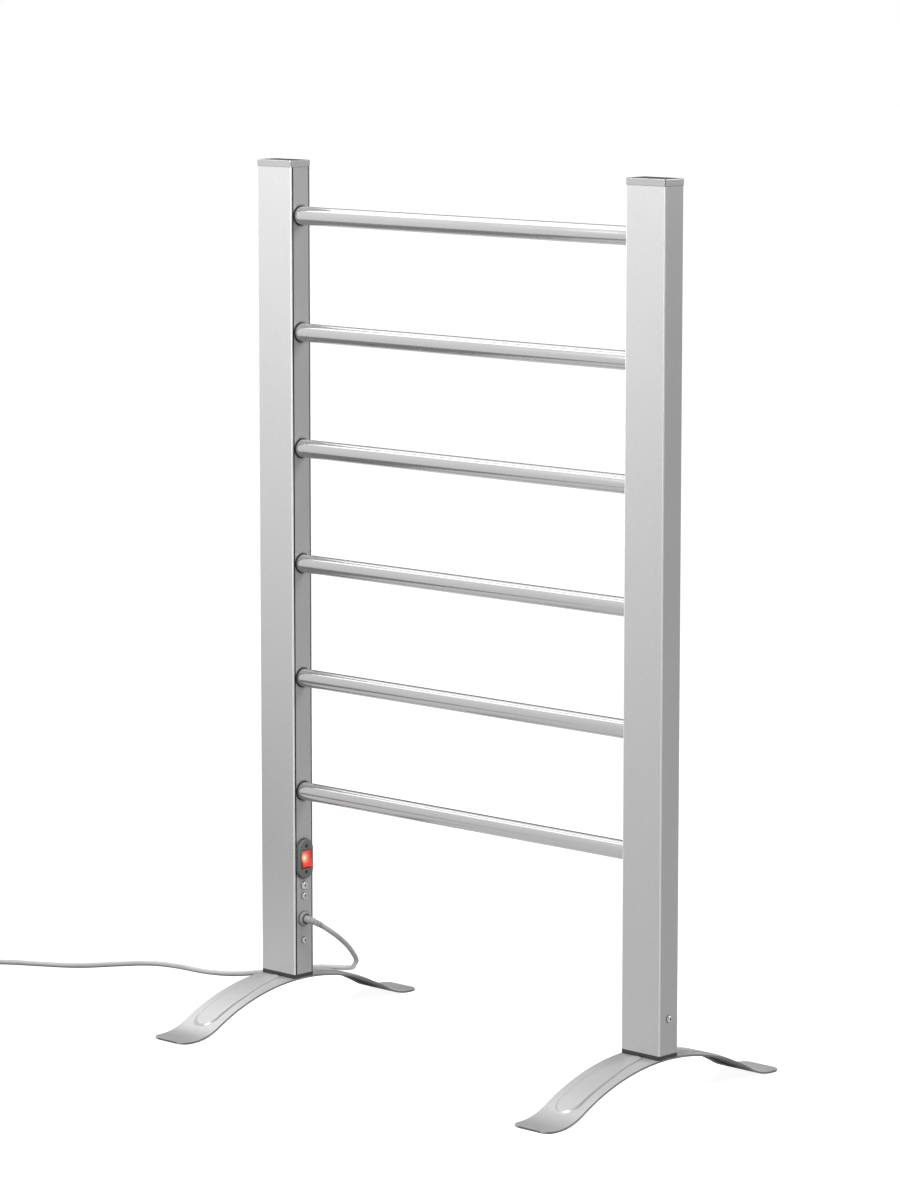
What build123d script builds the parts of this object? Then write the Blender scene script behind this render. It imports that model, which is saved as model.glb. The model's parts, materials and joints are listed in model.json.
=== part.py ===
from build123d import *
import os
from math import atan2, cos, degrees, pi, radians, sin, sqrt, tan

# Freestanding towel warmer: two posts on arched feet joined by six heated bars.
# Origin on the floor at the middle of the rack, +X along the bars, +Z up, millimetres.
# The left post, on -X, carries the switch and the cord.

# Overall frame
HEIGHT = 920.0           # floor to the top of the caps
INNER_GAP = 468.0        # between the posts' inner faces
POST_WIDTH = 51.0        # post section along X
WALL = 1.5               # post channel wall
POST_CORNER = 1.8        # rounding of the outer corners
LIP_ROUND = 1.2          # rounding of the channel's open ends

# Inner cover plate and the ledges that carry it
PLATE = 1.8              # plate thickness
PLATE_MARGIN = 0.95      # plate left beside each bar's hole
SEAM = 1.2               # dark groove beside the plate
LEDGE = 1.9              # how far the ledges stand out from the walls
LEDGE_THICK = 1.4
SLIP = 0.2               # clearance between parts that slide together
FIT = 0.1                # clearance round pressed and screwed parts
PAST = 1.0               # how far a cut runs beyond the face that it opens

# Heated bars
BAR_COUNT = 6
BAR_RADIUS = 9.65
BAR_WALL = 1.2
TOP_BAR_DROP = 58.0      # top bar's axis below the top of the caps
LOWEST_BAR_RISE = 73.7   # lowest bar's axis above the switch's centre
BAR_TAIL = 8.0           # bar inside each post, from the inner face
GROMMET_WALL = 0.5
GROMMET_BRIM = 0.45      # flange beyond the bush's barrel
GROMMET_LIP = 0.7        # flange thickness
CLIP_GAP = 0.5           # clip to the channel's walls
CLIP_THICK = 1.0
END_PLUG_DEPTH = 10.0
END_PLUG_FLANGE = 1.5

# Heating wire and its links
WIRE_RADIUS = 1.6
WIRE_STUB = 2.5          # heating wire beyond its end plug
LINK_REACH = 14.0        # link beyond the heating wire's end
LINK_BEND = 8.0
WIRE_START = 6.0         # straight start of the return wire
RISER_GAP = 11.5         # feed and return wires to the inside of the post's far wall
RISER_BEND = 4.0
RETURN_Y = -4.6          # return wire beside the feed wire
CUTOUT_RADIUS = 3.0
CUTOUT_LENGTH = 22.0
CUTOUT_ROUND = 1.0
CUTOUT_RISE = 52.0       # cut-out's middle above the lowest bar

# Top caps
CAP_RIM = 6.8
CAP_OVERHANG = 0.6
CAP_CORNER = 2.4
CAP_EDGE = 0.8
CAP_SKIRT = 12.0
CAP_SKIRT_WALL = 1.6

# Feet
FOOT_LENGTH = 354.0
FOOT_APEX = 44.6         # top of the arch
FOOT_SHEET = 2.0
TOE_RADIUS = 70.0        # top face, reverse arc before the toe
TOE_FLAT = 14.3          # flat end of the toe
TOE_CORNER = 11.0        # plan rounding of the toes
PANEL_GAP = 0.6          # pressed panel to the post
PANEL_TOE = 43.8         # pressed panel to the toe's end
PANEL_NOSE = 9.2         # radius of its inner end
PANEL_HALF = 15.4        # half width and radius of its outer end
PANEL_SHOULDER = 75.0    # where it reaches its full width
PANEL_RISE = 1.6
PANEL_STEP = 0.8         # rise of the panel's lower flank
PANEL_INSET = 1.2        # width of that flank
GASKET = 4.0             # dark pad between foot and post

# Base block, its bolts and screws
BLOCK_HEIGHT = 46.0
BOLT_RADIUS = 3.0
BOLT_SPACING = 28.0
BOLT_HEAD_RADIUS = 5.5
BOLT_HEAD = 2.6
BOLT_REACH = 26.0
HEX_KEY = 4.0            # across the key socket's flats
SCREW_HEAD_RADIUS = 3.5
SCREW_HEAD = 2.2
SCREW_CROWN = 1.5        # rounding of the screw head's edge
SCREW_RADIUS = 1.8
SCREW_REACH = 12.0
CROSS_WIDTH = 0.9
CROSS_LENGTH = 4.2
CROSS_DEPTH = 1.0
BASE_SCREW_RISE = 36.4   # base screws above the post's foot

# Switch, as distances out from the inner face and along Z from its centre
SWITCH_RISE = 29.4       # switch's centre above the earthing screw
BEZEL_END = 7.9          # bezel beyond its screws
BEZEL_SIDE = 3.0         # bezel beyond the switch body
BEZEL_RISE = 4.2
BEZEL_FOOT = 1.6         # height of the bezel's wider foot
BEZEL_STEP = 0.8
BEZEL_SKIN = 1.0         # face left over the switch body
BEZEL_ROUND = 0.9
BEZEL_SCREW_GAP = 0.3    # screw heads to the switch body's opening
BEZEL_SCREW_HEAD = 2.2
BEZEL_SCREW_RADIUS = 1.2
BEZEL_CROSS_WIDTH = 0.7
BEZEL_CROSS_LENGTH = 2.6
BEZEL_CROSS_DEPTH = 0.9
ROCKER_WIDTH = 13.0
ROCKER_SWING = 9.6       # radius swept by the rocker's ends
ROCKER_DIP = 2.6         # pivot to the middle of the rocker's face
ROCKER_SKIRT = 4.5       # pivot to the rocker's open side
ROCKER_TILT = 10.0       # degrees either side of the middle
ROCKER_GAP = 0.35
PIVOT_OUT = 1.5          # rocker pivot outside the inner face
TRUNNION_RADIUS = 1.2
TRUNNION_GAP = 0.05
BODY_WALL = 1.35
BODY_DEPTH = 20.0
BODY_FLOOR = 2.0
BODY_EAR = 3.2
LEVER_DEPTH = 14.0       # contact lever's axle behind the inner face
LEVER_HALF = 6.5
LEVER_WIDTH = 4.0
LEVER_THICK = 0.8
LEVER_AXLE = 0.8
LEVER_TILT = 6.0
LEVER_STANDOFF = 0.8     # axle centre to the middle of the lever's plate
LEVER_SIDE_GAP = 0.6     # lever to each axle ear
EAR_THICK = 1.2
EAR_HALF = 1.8           # half height of an axle ear
PLUNGER_RADIUS = 1.3
PLUNGER_GAP = 0.3
PLUNGER_BORE = 3.0
PLUNGER_TIP = 1.0
LAMP_RADIUS = 2.0
LAMP_Z = 6.4
LAMP_DEPTH = 7.5
TAB_WIDTH = 4.8
TAB_THICK = 0.8
TAB_PITCH = 5.6
TAB_REACH = 8.0
CONTACT_GAP = 0.3

# Cord entry and the pieces behind it
EARTH_SCREW_RISE = 11.3  # earthing screw above the clamp's screw
EARTH_SCREW_HEAD = 4.3
CLAMP_SCREW_RISE = 25.1  # clamp's screw above the gland
GLAND_RISE = 23.5        # gland's centre above the base screws
GLAND_RADIUS = 7.7
GLAND_FLANGE = 3.4
GLAND_BARREL = 6.0
GLAND_RIM = 1.1          # raised rim of the flange
GLAND_DISH = 0.9
GLAND_REACH = 8.0
GLAND_CATCH = 1.0
CLAMP_HEIGHT = 10.0
CLAMP_WIDTH = 16.0
TAIL_GAP = 1.6           # cord inside the post to the terminal block
TAIL_BEND = 15.0
TAIL_END = 2.4           # cord's end above the clamp
TERMINAL_HEIGHT = 10.0
TERMINAL_WIDTH = 14.0
TERMINAL_DEPTH = 20.0
LEAD_RADIUS = 0.8
LIVE_Y = 1.2             # where the two leads leave the cord's end
NEUTRAL_Y = -1.4
LIVE_RISE = 8.0          # straight rise of the live lead before it swings back
LIVE_SWING = 6.0         # further rise while it swings back
LIVE_BACK = 4.0
LIVE_BEND = 3.0
NEUTRAL_BEND = 1.6
NEUTRAL_DROP = 2.0       # neutral lead's entry below the terminal block's top

# Cord, strain relief, coil and plug
CORD_DIAMETER = 5.6
RUN_SHARE = 0.45         # part of the shorter run that each arc takes up
RELIEF_ROOT = 4.3
RELIEF_TIP = 3.3
RELIEF_LENGTH = 20.0
CORD_LEAVE = (0.42, 0.72, -0.55)  # direction at the relief's tip
CORD_FIRST_RUN = 14.0
CORD_ROUTE = [
    (-207.5, 33.0, 82.5), (-214.0, 51.0, 69.5), (-236.0, 82.0, 50.0),
    (-280.0, 124.0, 32.0), (-321.0, 163.0, 17.0), (-341.0, 181.0, 7.5), (-357.4, 185.4, 4.0),
    (-374.0, 181.9, 2.8), (-387.2, 171.2, 2.8), (-399.4, 143.8, 2.8), (-413.0, 108.0, 2.8),
    (-428.0, 79.0, 2.8),
    (-462.0, 65.0, 2.8), (-504.0, 64.5, 2.8), (-538.0, 54.0, 2.8), (-562.0, 21.0, 2.8),
    (-585.0, -14.0, 2.8), (-624.0, -37.0, 2.8), (-659.0, -56.0, 2.8), (-691.0, -86.0, 2.8),
]
COIL_RADIUS = 29.0       # mean radius of the turns
COIL_GAP = 0.6           # between turns side by side
LAYER_GAP = 0.5          # between the two layers
COIL_TURNS = 4
COIL_END = 229.0         # degrees, where it leaves for the plug
COIL_REVERSE = 180.0     # degrees of turn in which the spiral reverses and climbs
PLUG_CLIMB = 120.0       # degrees of turn in which the end rises to the plug
PLUG_LEAD = 12.0         # straight cord between the turns and the plug
QUARTER_TURN = 90        # degrees, the coil's arcs
SAMPLE_STEP = 2.0        # spacing of the points that measure the coil's own gaps
SAMPLE_APART = 20.0      # stretches nearer along the cord than this aren't compared
PLUG_CLEAR = 0.1         # plug above the floor
PLUG_NECK = 20.0
PLUG_NECK_RADIUS = 4.2
PLUG_BODY = 30.0
PLUG_WIDE = 27.0
PLUG_HIGH = 23.0
PLUG_ROUND = 4.0
BLADE_PITCH = 12.7
BLADE_WIDTH = 6.3
BLADE_THICK = 1.5
BLADE_REACH = 17.0
EARTH_PIN_RADIUS = 2.4
EARTH_PIN_REACH = 20.0
EARTH_PIN_OFFSET = 11.9
EARTH_PIN_TIP = 1.9
PIN_ROOT = 8.0           # blades held inside the plug

# Worked out from the sizes above
INNER = INNER_GAP / 2
POST_TOP = HEIGHT - CAP_RIM
POST_FOOT = FOOT_APEX + GASKET
POST_CENTRE = INNER + POST_WIDTH / 2
GROMMET_RADIUS = BAR_RADIUS + FIT + GROMMET_WALL
PLATE_HALF = GROMMET_RADIUS + FIT + PLATE_MARGIN
WALL_INSIDE = PLATE_HALF + SEAM
POST_DEPTH = 2 * (WALL_INSIDE + WALL)
LEDGE_BACK = PLATE + SLIP + LEDGE_THICK
WEB_INSIDE = POST_WIDTH - WALL
BASE_SCREW_Z = POST_FOOT + BASE_SCREW_RISE
GLAND_Z = BASE_SCREW_Z + GLAND_RISE
CLAMP_SCREW_Z = GLAND_Z + CLAMP_SCREW_RISE
EARTH_SCREW_Z = CLAMP_SCREW_Z + EARTH_SCREW_RISE
SWITCH_Z = EARTH_SCREW_Z + SWITCH_RISE
LOWEST_BAR_Z = SWITCH_Z + LOWEST_BAR_RISE
BAR_PITCH = (HEIGHT - TOP_BAR_DROP - LOWEST_BAR_Z) / (BAR_COUNT - 1)
BAR_HEIGHTS = [HEIGHT - TOP_BAR_DROP - BAR_PITCH * i for i in range(BAR_COUNT)]
CUTOUT_Z = LOWEST_BAR_Z + CUTOUT_RISE
WIRE_END = INNER + BAR_TAIL + END_PLUG_FLANGE + WIRE_STUB
RISER_DEPTH = WEB_INSIDE - RISER_GAP
ARCH_RISE = FOOT_APEX - FOOT_SHEET
ARCH_SPAN = FOOT_LENGTH / 2 - TOE_FLAT
ARCH_RADIUS = (ARCH_SPAN ** 2 + ARCH_RISE ** 2) / (2 * ARCH_RISE) - TOE_RADIUS
PANEL_START = POST_DEPTH / 2 + PANEL_GAP
PANEL_END = FOOT_LENGTH / 2 - PANEL_TOE
CAVITY_HALF_Y = ROCKER_WIDTH / 2 + ROCKER_GAP
CAVITY_HALF_Z = ROCKER_SWING + ROCKER_GAP
BODY_HALF_Y = CAVITY_HALF_Y + BODY_WALL
BODY_HALF_Z = CAVITY_HALF_Z + BODY_WALL
BODY_FRONT = BEZEL_RISE - BEZEL_SKIN - SLIP
BEZEL_SCREW_OFFSET = BODY_HALF_Z + SLIP + BEZEL_SCREW_GAP + BEZEL_SCREW_HEAD + FIT
BEZEL_HEIGHT = 2 * (BEZEL_SCREW_OFFSET + BEZEL_END)
BEZEL_WIDTH = 2 * (BODY_HALF_Y + BEZEL_SIDE)
CORD_RADIUS = CORD_DIAMETER / 2
TAIL_DEPTH = LEDGE_BACK + SLIP + TERMINAL_DEPTH + TAIL_GAP + CORD_RADIUS
TAIL_TOP = CLAMP_SCREW_Z + CLAMP_HEIGHT / 2 + TAIL_END
PLUG_AXIS = PLUG_HIGH / 2 + PLUG_CLEAR
MIDDLE = (Align.CENTER, Align.CENTER, Align.MIN)

nodes = {}


def block(x, y, z):
    """Box between the two values given for each axis."""
    size = [abs(b - a) for a, b in (x, y, z)]
    centre = [(a + b) / 2 for a, b in (x, y, z)]
    return Pos(*centre) * Box(*size)


def rod(start, end, radius):
    """Round bar between two points."""
    line = Vector(*end) - Vector(*start)
    return Plane(origin=start, z_dir=line) * Cylinder(radius, line.length, align=MIDDLE)


def ring(start, end, outer, inner):
    """Round tube between two points."""
    return rod(start, end, outer) - rod(start, end, inner)


def corner_radii(points):
    """Largest arc at each corner that leaves both of its runs a straight middle."""
    radii = []
    for a, b, c in zip(points, points[1:], points[2:]):
        first, second = Vector(*b) - Vector(*a), Vector(*c) - Vector(*b)
        half_turn = radians(first.get_angle(second)) / 2
        radii.append(RUN_SHARE * min(first.length, second.length) / tan(half_turn))
    return radii


def bent_rod(points, radii, radius):
    """Round bar along straight runs joined by tangent arcs."""
    path = FilletPolyline(*points, radius=radii)
    return sweep(Plane(origin=path @ 0, z_dir=path % 0) * Circle(radius), path=path)


def at_left(shape):
    """The same piece on the left post."""
    return mirror(shape, about=Plane.YZ)


def both_posts(name, shape):
    """One node on each post from the shape made for the right one."""
    nodes["right_" + name] = shape
    nodes["left_" + name] = at_left(shape)


def group(solids):
    """Separate solids kept in one node."""
    return Compound(children=list(solids))


def inside(depth):
    """X of a point in the left post, this far behind its inner face."""
    return -(INNER + depth)


def outside(distance):
    """X of a point this far out from the left post's inner face."""
    return -INNER + distance


# Posts, cover plates and caps

def post_channel():
    """Channel open towards the bars, with a ledge on each wall for the plate."""
    outer = block((INNER, INNER + POST_WIDTH), (-POST_DEPTH / 2, POST_DEPTH / 2), (POST_FOOT, POST_TOP))
    uprights = outer.edges().filter_by(Axis.Z).sort_by(Axis.X)
    outer = fillet(uprights[2:], POST_CORNER)
    uprights = outer.edges().filter_by(Axis.Z).sort_by(Axis.X)
    outer = fillet(uprights[:2], LIP_ROUND)
    room = block((INNER - PAST, INNER + WEB_INSIDE), (-WALL_INSIDE, WALL_INSIDE),
                 (POST_FOOT - PAST, POST_TOP + PAST))
    channel = outer - room
    ledge_face = INNER + PLATE + SLIP
    for side in (-1, 1):
        ledge_y = (side * WALL_INSIDE, side * (WALL_INSIDE - LEDGE))
        channel += block((ledge_face, ledge_face + LEDGE_THICK), ledge_y, (POST_FOOT, POST_TOP))
    web = (INNER + WEB_INSIDE - PAST, 0, BASE_SCREW_Z)
    return channel - rod(web, (INNER + POST_WIDTH + PAST, 0, BASE_SCREW_Z), SCREW_RADIUS + FIT)


def inner_plate():
    """Cover plate with the six bar holes and the base screw's hole."""
    plate = block((INNER, INNER + PLATE), (-PLATE_HALF, PLATE_HALF), (POST_FOOT, POST_TOP))
    holes = [(z, GROMMET_RADIUS + FIT) for z in BAR_HEIGHTS] + [(BASE_SCREW_Z, SCREW_RADIUS + FIT)]
    for z, radius in holes:
        plate -= rod((INNER - PAST, 0, z), (INNER + PLATE + PAST, 0, z), radius)
    return plate


def switch_plate():
    """Left cover plate, which also holds the switch, two screws and the gland."""
    plate = at_left(inner_plate())
    through = (outside(PAST), inside(PLATE + PAST))
    opening_y = BODY_HALF_Y + SLIP
    opening_z = BODY_HALF_Z + SLIP
    plate -= block(through, (-opening_y, opening_y), (SWITCH_Z - opening_z, SWITCH_Z + opening_z))
    holes = [(z, BEZEL_SCREW_RADIUS + FIT) for z in bezel_screw_heights()]
    holes += [(EARTH_SCREW_Z, SCREW_RADIUS + FIT), (CLAMP_SCREW_Z, SCREW_RADIUS + FIT),
              (GLAND_Z, GLAND_BARREL + FIT)]
    for z, radius in holes:
        plate -= rod((through[0], 0, z), (through[1], 0, z), radius)
    return plate


def top_cap():
    """Rim over the post's end with a skirt that slides inside the channel."""
    half = POST_DEPTH / 2 + CAP_OVERHANG
    rim = block((INNER - CAP_OVERHANG, INNER + POST_WIDTH + CAP_OVERHANG), (-half, half), (POST_TOP, HEIGHT))
    rim = fillet(rim.edges().filter_by(Axis.Z), CAP_CORNER)
    rim = fillet(rim.faces().sort_by(Axis.Z)[-1].edges(), CAP_EDGE)
    skirt_x = (INNER + LEDGE_BACK + SLIP, INNER + WEB_INSIDE - SLIP)
    skirt_y = WALL_INSIDE - SLIP
    skirt_z = (POST_TOP - CAP_SKIRT, POST_TOP)
    skirt = block(skirt_x, (-skirt_y, skirt_y), skirt_z)
    hollow_x = (skirt_x[0] + CAP_SKIRT_WALL, skirt_x[1] - CAP_SKIRT_WALL)
    hollow_y = skirt_y - CAP_SKIRT_WALL
    return rim + (skirt - block(hollow_x, (-hollow_y, hollow_y), (skirt_z[0] - PAST, skirt_z[1])))


# Feet and what fastens them

def arch_points(depth):
    """Points along half of the foot's section, this far below its top face."""
    swing = 2 * atan2(ARCH_RISE, ARCH_SPAN)
    arch, toe = ARCH_RADIUS - depth, TOE_RADIUS + depth
    arch_z, toe_z = FOOT_APEX - ARCH_RADIUS, FOOT_SHEET + TOE_RADIUS
    on_arch = [(arch * sin(a), arch_z + arch * cos(a)) for a in (0, swing / 2, swing)]
    on_toe = [(ARCH_SPAN - toe * sin(a), toe_z - toe * cos(a)) for a in (swing / 2, 0)]
    return on_arch + on_toe + [(FOOT_LENGTH / 2, FOOT_SHEET - depth)]


def foot_strip(top, bottom, width):
    """Arched strip between two depths below the top face, centred on the post."""
    edges = []
    ends = []
    for depth in (top, bottom):
        crown, high, knee, low, flat, tip = arch_points(depth)
        flip = [(-y, z) for y, z in (high, knee, low, flat, tip)]
        edges += [Line(flip[4], flip[3]), ThreePointArc(flip[3], flip[2], flip[1]),
                  ThreePointArc(flip[1], crown, knee), ThreePointArc(knee, low, flat), Line(flat, tip)]
        ends.append((flip[4], tip))
    edges += [Line(ends[0][k], ends[1][k]) for k in (0, 1)]
    section = make_face(Plane.YZ * Curve(edges))
    strip = extrude(section, amount=width / 2, both=True, dir=(1, 0, 0))
    return Pos(POST_CENTRE, 0, 0) * strip


def panel_outline(inset):
    """Plan outline of the pressed panel on the back arm, drawn in by the inset."""
    nose, half = PANEL_NOSE - inset, PANEL_HALF - inset
    nose_y, end_y = PANEL_START + PANEL_NOSE, PANEL_END - PANEL_HALF
    outline = [ThreePointArc((-nose, nose_y), (0, nose_y - nose), (nose, nose_y)),
               Line((nose, nose_y), (half, PANEL_SHOULDER)),
               Line((half, PANEL_SHOULDER), (half, end_y)),
               ThreePointArc((half, end_y), (0, end_y + half), (-half, end_y)),
               Line((-half, end_y), (-half, PANEL_SHOULDER)),
               Line((-half, PANEL_SHOULDER), (-nose, nose_y))]
    return Pos(POST_CENTRE, 0, 0) * make_face(Curve(outline))


def panel_layer(inset, top, bottom):
    """Slice of both pressed panels between two depths below the foot's top face."""
    column = extrude(panel_outline(inset), amount=2 * FOOT_APEX, dir=(0, 0, 1))
    columns = column + mirror(column, about=Plane.XZ)
    return foot_strip(top, bottom, POST_WIDTH) & columns


def foot():
    """Pressed arch with raised panels, rounded toes and two bolt holes."""
    sheet = foot_strip(0, FOOT_SHEET, POST_WIDTH)
    upright = sheet.edges().filter_by(Axis.Z)
    sheet = fillet(upright, TOE_CORNER)
    under = FOOT_SHEET - PANEL_RISE
    sheet -= panel_layer(FOOT_SHEET, under, FOOT_SHEET + PAST)
    sheet += panel_layer(0, -PANEL_STEP, under)
    sheet += panel_layer(PANEL_INSET, -PANEL_RISE, under)
    for x in bolt_places():
        sheet -= rod((x, 0, 0), (x, 0, FOOT_APEX + PAST), BOLT_RADIUS + FIT)
    return sheet


def bolt_places():
    return [POST_CENTRE + side * BOLT_SPACING / 2 for side in (-1, 1)]


def base_gasket():
    """Dark pad whose underside follows the arch."""
    pad = block((INNER, INNER + POST_WIDTH), (-POST_DEPTH / 2, POST_DEPTH / 2), (FOOT_APEX / 2, POST_FOOT))
    pad = fillet(pad.edges().filter_by(Axis.Z), POST_CORNER)
    axis_z = FOOT_APEX - ARCH_RADIUS
    pad -= rod((INNER - PAST, 0, axis_z), (INNER + POST_WIDTH + PAST, 0, axis_z), ARCH_RADIUS)
    for x in bolt_places():
        pad -= rod((x, 0, 0), (x, 0, POST_FOOT + PAST), BOLT_RADIUS + FIT)
    return pad


def base_block():
    """Solid block in the foot of the post that the bolts and screws go into."""
    z = (POST_FOOT, POST_FOOT + BLOCK_HEIGHT)
    back = (INNER + LEDGE_BACK + SLIP, INNER + WEB_INSIDE - SLIP)
    wide, narrow = WALL_INSIDE - SLIP, WALL_INSIDE - LEDGE - SLIP
    solid = block(back, (-wide, wide), z) + block((INNER + PLATE + SLIP, back[0]), (-narrow, narrow), z)
    bore_top = FOOT_APEX - FOOT_SHEET + BOLT_REACH + FIT
    for x in bolt_places():
        solid -= rod((x, 0, z[0] - PAST), (x, 0, bore_top), BOLT_RADIUS + FIT)
    screw = [INNER + SCREW_REACH + FIT, INNER + POST_WIDTH - SCREW_REACH - FIT]
    for start, end in ((INNER, screw[0]), (screw[1], INNER + POST_WIDTH)):
        solid -= rod((start, 0, BASE_SCREW_Z), (end, 0, BASE_SCREW_Z), SCREW_RADIUS + FIT)
    return solid


def foot_bolt(x):
    """Button head bolt that comes up through the foot."""
    seat = FOOT_APEX - ARCH_RADIUS + sqrt((ARCH_RADIUS - FOOT_SHEET) ** 2 - BOLT_HEAD_RADIUS ** 2)
    head = rod((x, 0, seat - BOLT_HEAD), (x, 0, seat), BOLT_HEAD_RADIUS)
    head = fillet(head.edges().sort_by(Axis.Z)[0], BOLT_HEAD / 2)
    key = RegularPolygon(HEX_KEY / 2, 6, major_radius=False)
    socket = extrude(Pos(x, 0, seat - BOLT_HEAD) * key, amount=BOLT_HEAD / 2)
    return head - socket + rod((x, 0, seat), (x, 0, seat + BOLT_REACH), BOLT_RADIUS)


def pan_screw(x, z, way, head_radius=SCREW_HEAD_RADIUS, reach=SCREW_REACH):
    """Cross recessed screw along X; way is the side that its head stands on."""
    tip, top = (x - way * reach, 0, z), (x + way * SCREW_HEAD, 0, z)
    head = rod((x, 0, z), top, head_radius)
    head = fillet(head.edges().sort_by(Axis.X)[-1 if way > 0 else 0], SCREW_CROWN)
    for across, along in ((CROSS_WIDTH, CROSS_LENGTH), (CROSS_LENGTH, CROSS_WIDTH)):
        head -= block((x + way * (SCREW_HEAD - CROSS_DEPTH), x + way * (SCREW_HEAD + PAST)),
                      (-across / 2, across / 2), (z - along / 2, z + along / 2))
    return head + rod((x, 0, z), tip, SCREW_RADIUS)


# Bars and the wiring through them

def bar(z):
    reach = INNER + BAR_TAIL
    return ring((-reach, 0, z), (reach, 0, z), BAR_RADIUS, BAR_RADIUS - BAR_WALL)


def heating_wire(z):
    return rod((-WIRE_END, 0, z), (WIRE_END, 0, z), WIRE_RADIUS)


def bar_grommet(z):
    """Flanged bush between a bar and its hole in the cover plate."""
    brim = GROMMET_RADIUS + GROMMET_BRIM
    flange = ring((INNER - GROMMET_LIP, 0, z), (INNER, 0, z), brim, BAR_RADIUS + FIT)
    return flange + ring((INNER, 0, z), (INNER + PLATE, 0, z), GROMMET_RADIUS, BAR_RADIUS + FIT)


def bar_clip(z):
    """Push-on ring behind the ledges that stops the bar pulling out."""
    start = INNER + LEDGE_BACK
    outer = WALL_INSIDE - CLIP_GAP
    return ring((start, 0, z), (start + CLIP_THICK, 0, z), outer, BAR_RADIUS + FIT / 2)


def bar_end_plug(z):
    """Insulating plug that centres the heating wire in the bar's end."""
    end = INNER + BAR_TAIL
    bore = BAR_RADIUS - BAR_WALL
    plug = rod((end - END_PLUG_DEPTH, 0, z), (end, 0, z), bore - FIT)
    plug += rod((end, 0, z), (end + END_PLUG_FLANGE, 0, z), bore + BAR_WALL / 2)
    bore_ends = (end - END_PLUG_DEPTH - PAST, end + END_PLUG_FLANGE + PAST)
    return plug - rod((bore_ends[0], 0, z), (bore_ends[1], 0, z), WIRE_RADIUS + FIT)


def link(side, upper, lower):
    """Bridge between the heating wires of two neighbouring bars."""
    near, far = side * WIRE_END, side * (WIRE_END + LINK_REACH)
    points = [(near, 0, upper), (far, 0, upper), (far, 0, lower), (near, 0, lower)]
    return bent_rod(points, [LINK_BEND, LINK_BEND], WIRE_RADIUS)


def links(side, first):
    pairs = range(first, BAR_COUNT - 1, 2)
    return group(link(side, BAR_HEIGHTS[i], BAR_HEIGHTS[i + 1]) for i in pairs)


def feed_wire():
    """From the middle switch tab up to the lowest heating wire."""
    start, riser, z = inside(BODY_DEPTH + TAB_REACH), inside(RISER_DEPTH), LOWEST_BAR_Z
    points = [(start, 0, SWITCH_Z), (riser, 0, SWITCH_Z), (riser, 0, z), (-WIRE_END, 0, z)]
    return bent_rod(points, [RISER_BEND, RISER_BEND], WIRE_RADIUS)


def return_wires():
    """From the top heating wire down to the cut-out, and on to the terminal block."""
    top, down = BAR_HEIGHTS[0], inside(RISER_DEPTH)
    upper = [(-WIRE_END, 0, top), (-WIRE_END - WIRE_START, 0, top), (down, RETURN_Y, top),
             (down, RETURN_Y, CUTOUT_Z + CUTOUT_LENGTH / 2)]
    lower = [(down, RETURN_Y, CUTOUT_Z - CUTOUT_LENGTH / 2), (down, RETURN_Y, EARTH_SCREW_Z),
             (terminal_back(), RETURN_Y, EARTH_SCREW_Z)]
    bends = [LINK_BEND, LINK_BEND]
    return group([bent_rod(upper, bends, WIRE_RADIUS), bent_rod(lower, [RISER_BEND], WIRE_RADIUS)])


def thermal_cutout():
    x, half = inside(RISER_DEPTH), CUTOUT_LENGTH / 2
    body = rod((x, RETURN_Y, CUTOUT_Z - half), (x, RETURN_Y, CUTOUT_Z + half), CUTOUT_RADIUS)
    return fillet(body.edges().filter_by(GeomType.CIRCLE), CUTOUT_ROUND)


# Switch

def obround(width, height, low, high):
    """Upright slot shape on the inner face, between two distances out from it."""
    plane = Plane(origin=(outside(low), 0, SWITCH_Z), x_dir=(0, 0, 1), z_dir=(1, 0, 0))
    return extrude(plane * SlotOverall(height, width), amount=high - low, dir=(1, 0, 0))


def switch_bezel():
    """Stepped surround with the rocker's opening and two countersunk screw holes."""
    wide_foot = obround(BEZEL_WIDTH, BEZEL_HEIGHT, 0, BEZEL_FOOT)
    raised = obround(BEZEL_WIDTH - 2 * BEZEL_STEP, BEZEL_HEIGHT - 2 * BEZEL_STEP, BEZEL_FOOT, BEZEL_RISE)
    raised = fillet(raised.faces().sort_by(Axis.X)[-1].edges(), BEZEL_ROUND)
    bezel = wide_foot + raised
    for half_y, half_z, start, end in (
            (CAVITY_HALF_Y, CAVITY_HALF_Z, -PAST, BEZEL_RISE + PAST),
            (BODY_HALF_Y + SLIP, BODY_HALF_Z + SLIP, -PAST, BEZEL_RISE - BEZEL_SKIN)):
        z = (SWITCH_Z - half_z, SWITCH_Z + half_z)
        bezel -= block((outside(start), outside(end)), (-half_y, half_y), z)
    for z in bezel_screw_heights():
        top = (outside(BEZEL_RISE + PAST), 0, z)
        bezel -= rod((outside(-PAST), 0, z), top, BEZEL_SCREW_RADIUS + FIT)
        bezel -= rod((outside(BEZEL_RISE / 2), 0, z), top, BEZEL_SCREW_HEAD + FIT)
    return bezel


def bezel_screw_heights():
    return [SWITCH_Z + side * BEZEL_SCREW_OFFSET for side in (-1, 1)]


def bezel_screw(z):
    """Small screw sunk in the bezel, reaching the switch body's ear."""
    seat, top = BEZEL_RISE / 2, BEZEL_RISE - FIT
    head = rod((outside(seat), 0, z), (outside(top), 0, z), BEZEL_SCREW_HEAD)
    depth = (outside(top - BEZEL_CROSS_DEPTH), outside(top + PAST))
    wide, long = BEZEL_CROSS_WIDTH / 2, BEZEL_CROSS_LENGTH / 2
    head -= block(depth, (-wide, wide), (z - long, z + long))
    head -= block(depth, (-long, long), (z - wide, z + wide))
    shank_end = inside(PLATE + SLIP + BODY_EAR)
    return head + rod((outside(seat), 0, z), (shank_end, 0, z), BEZEL_SCREW_RADIUS)


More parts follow.
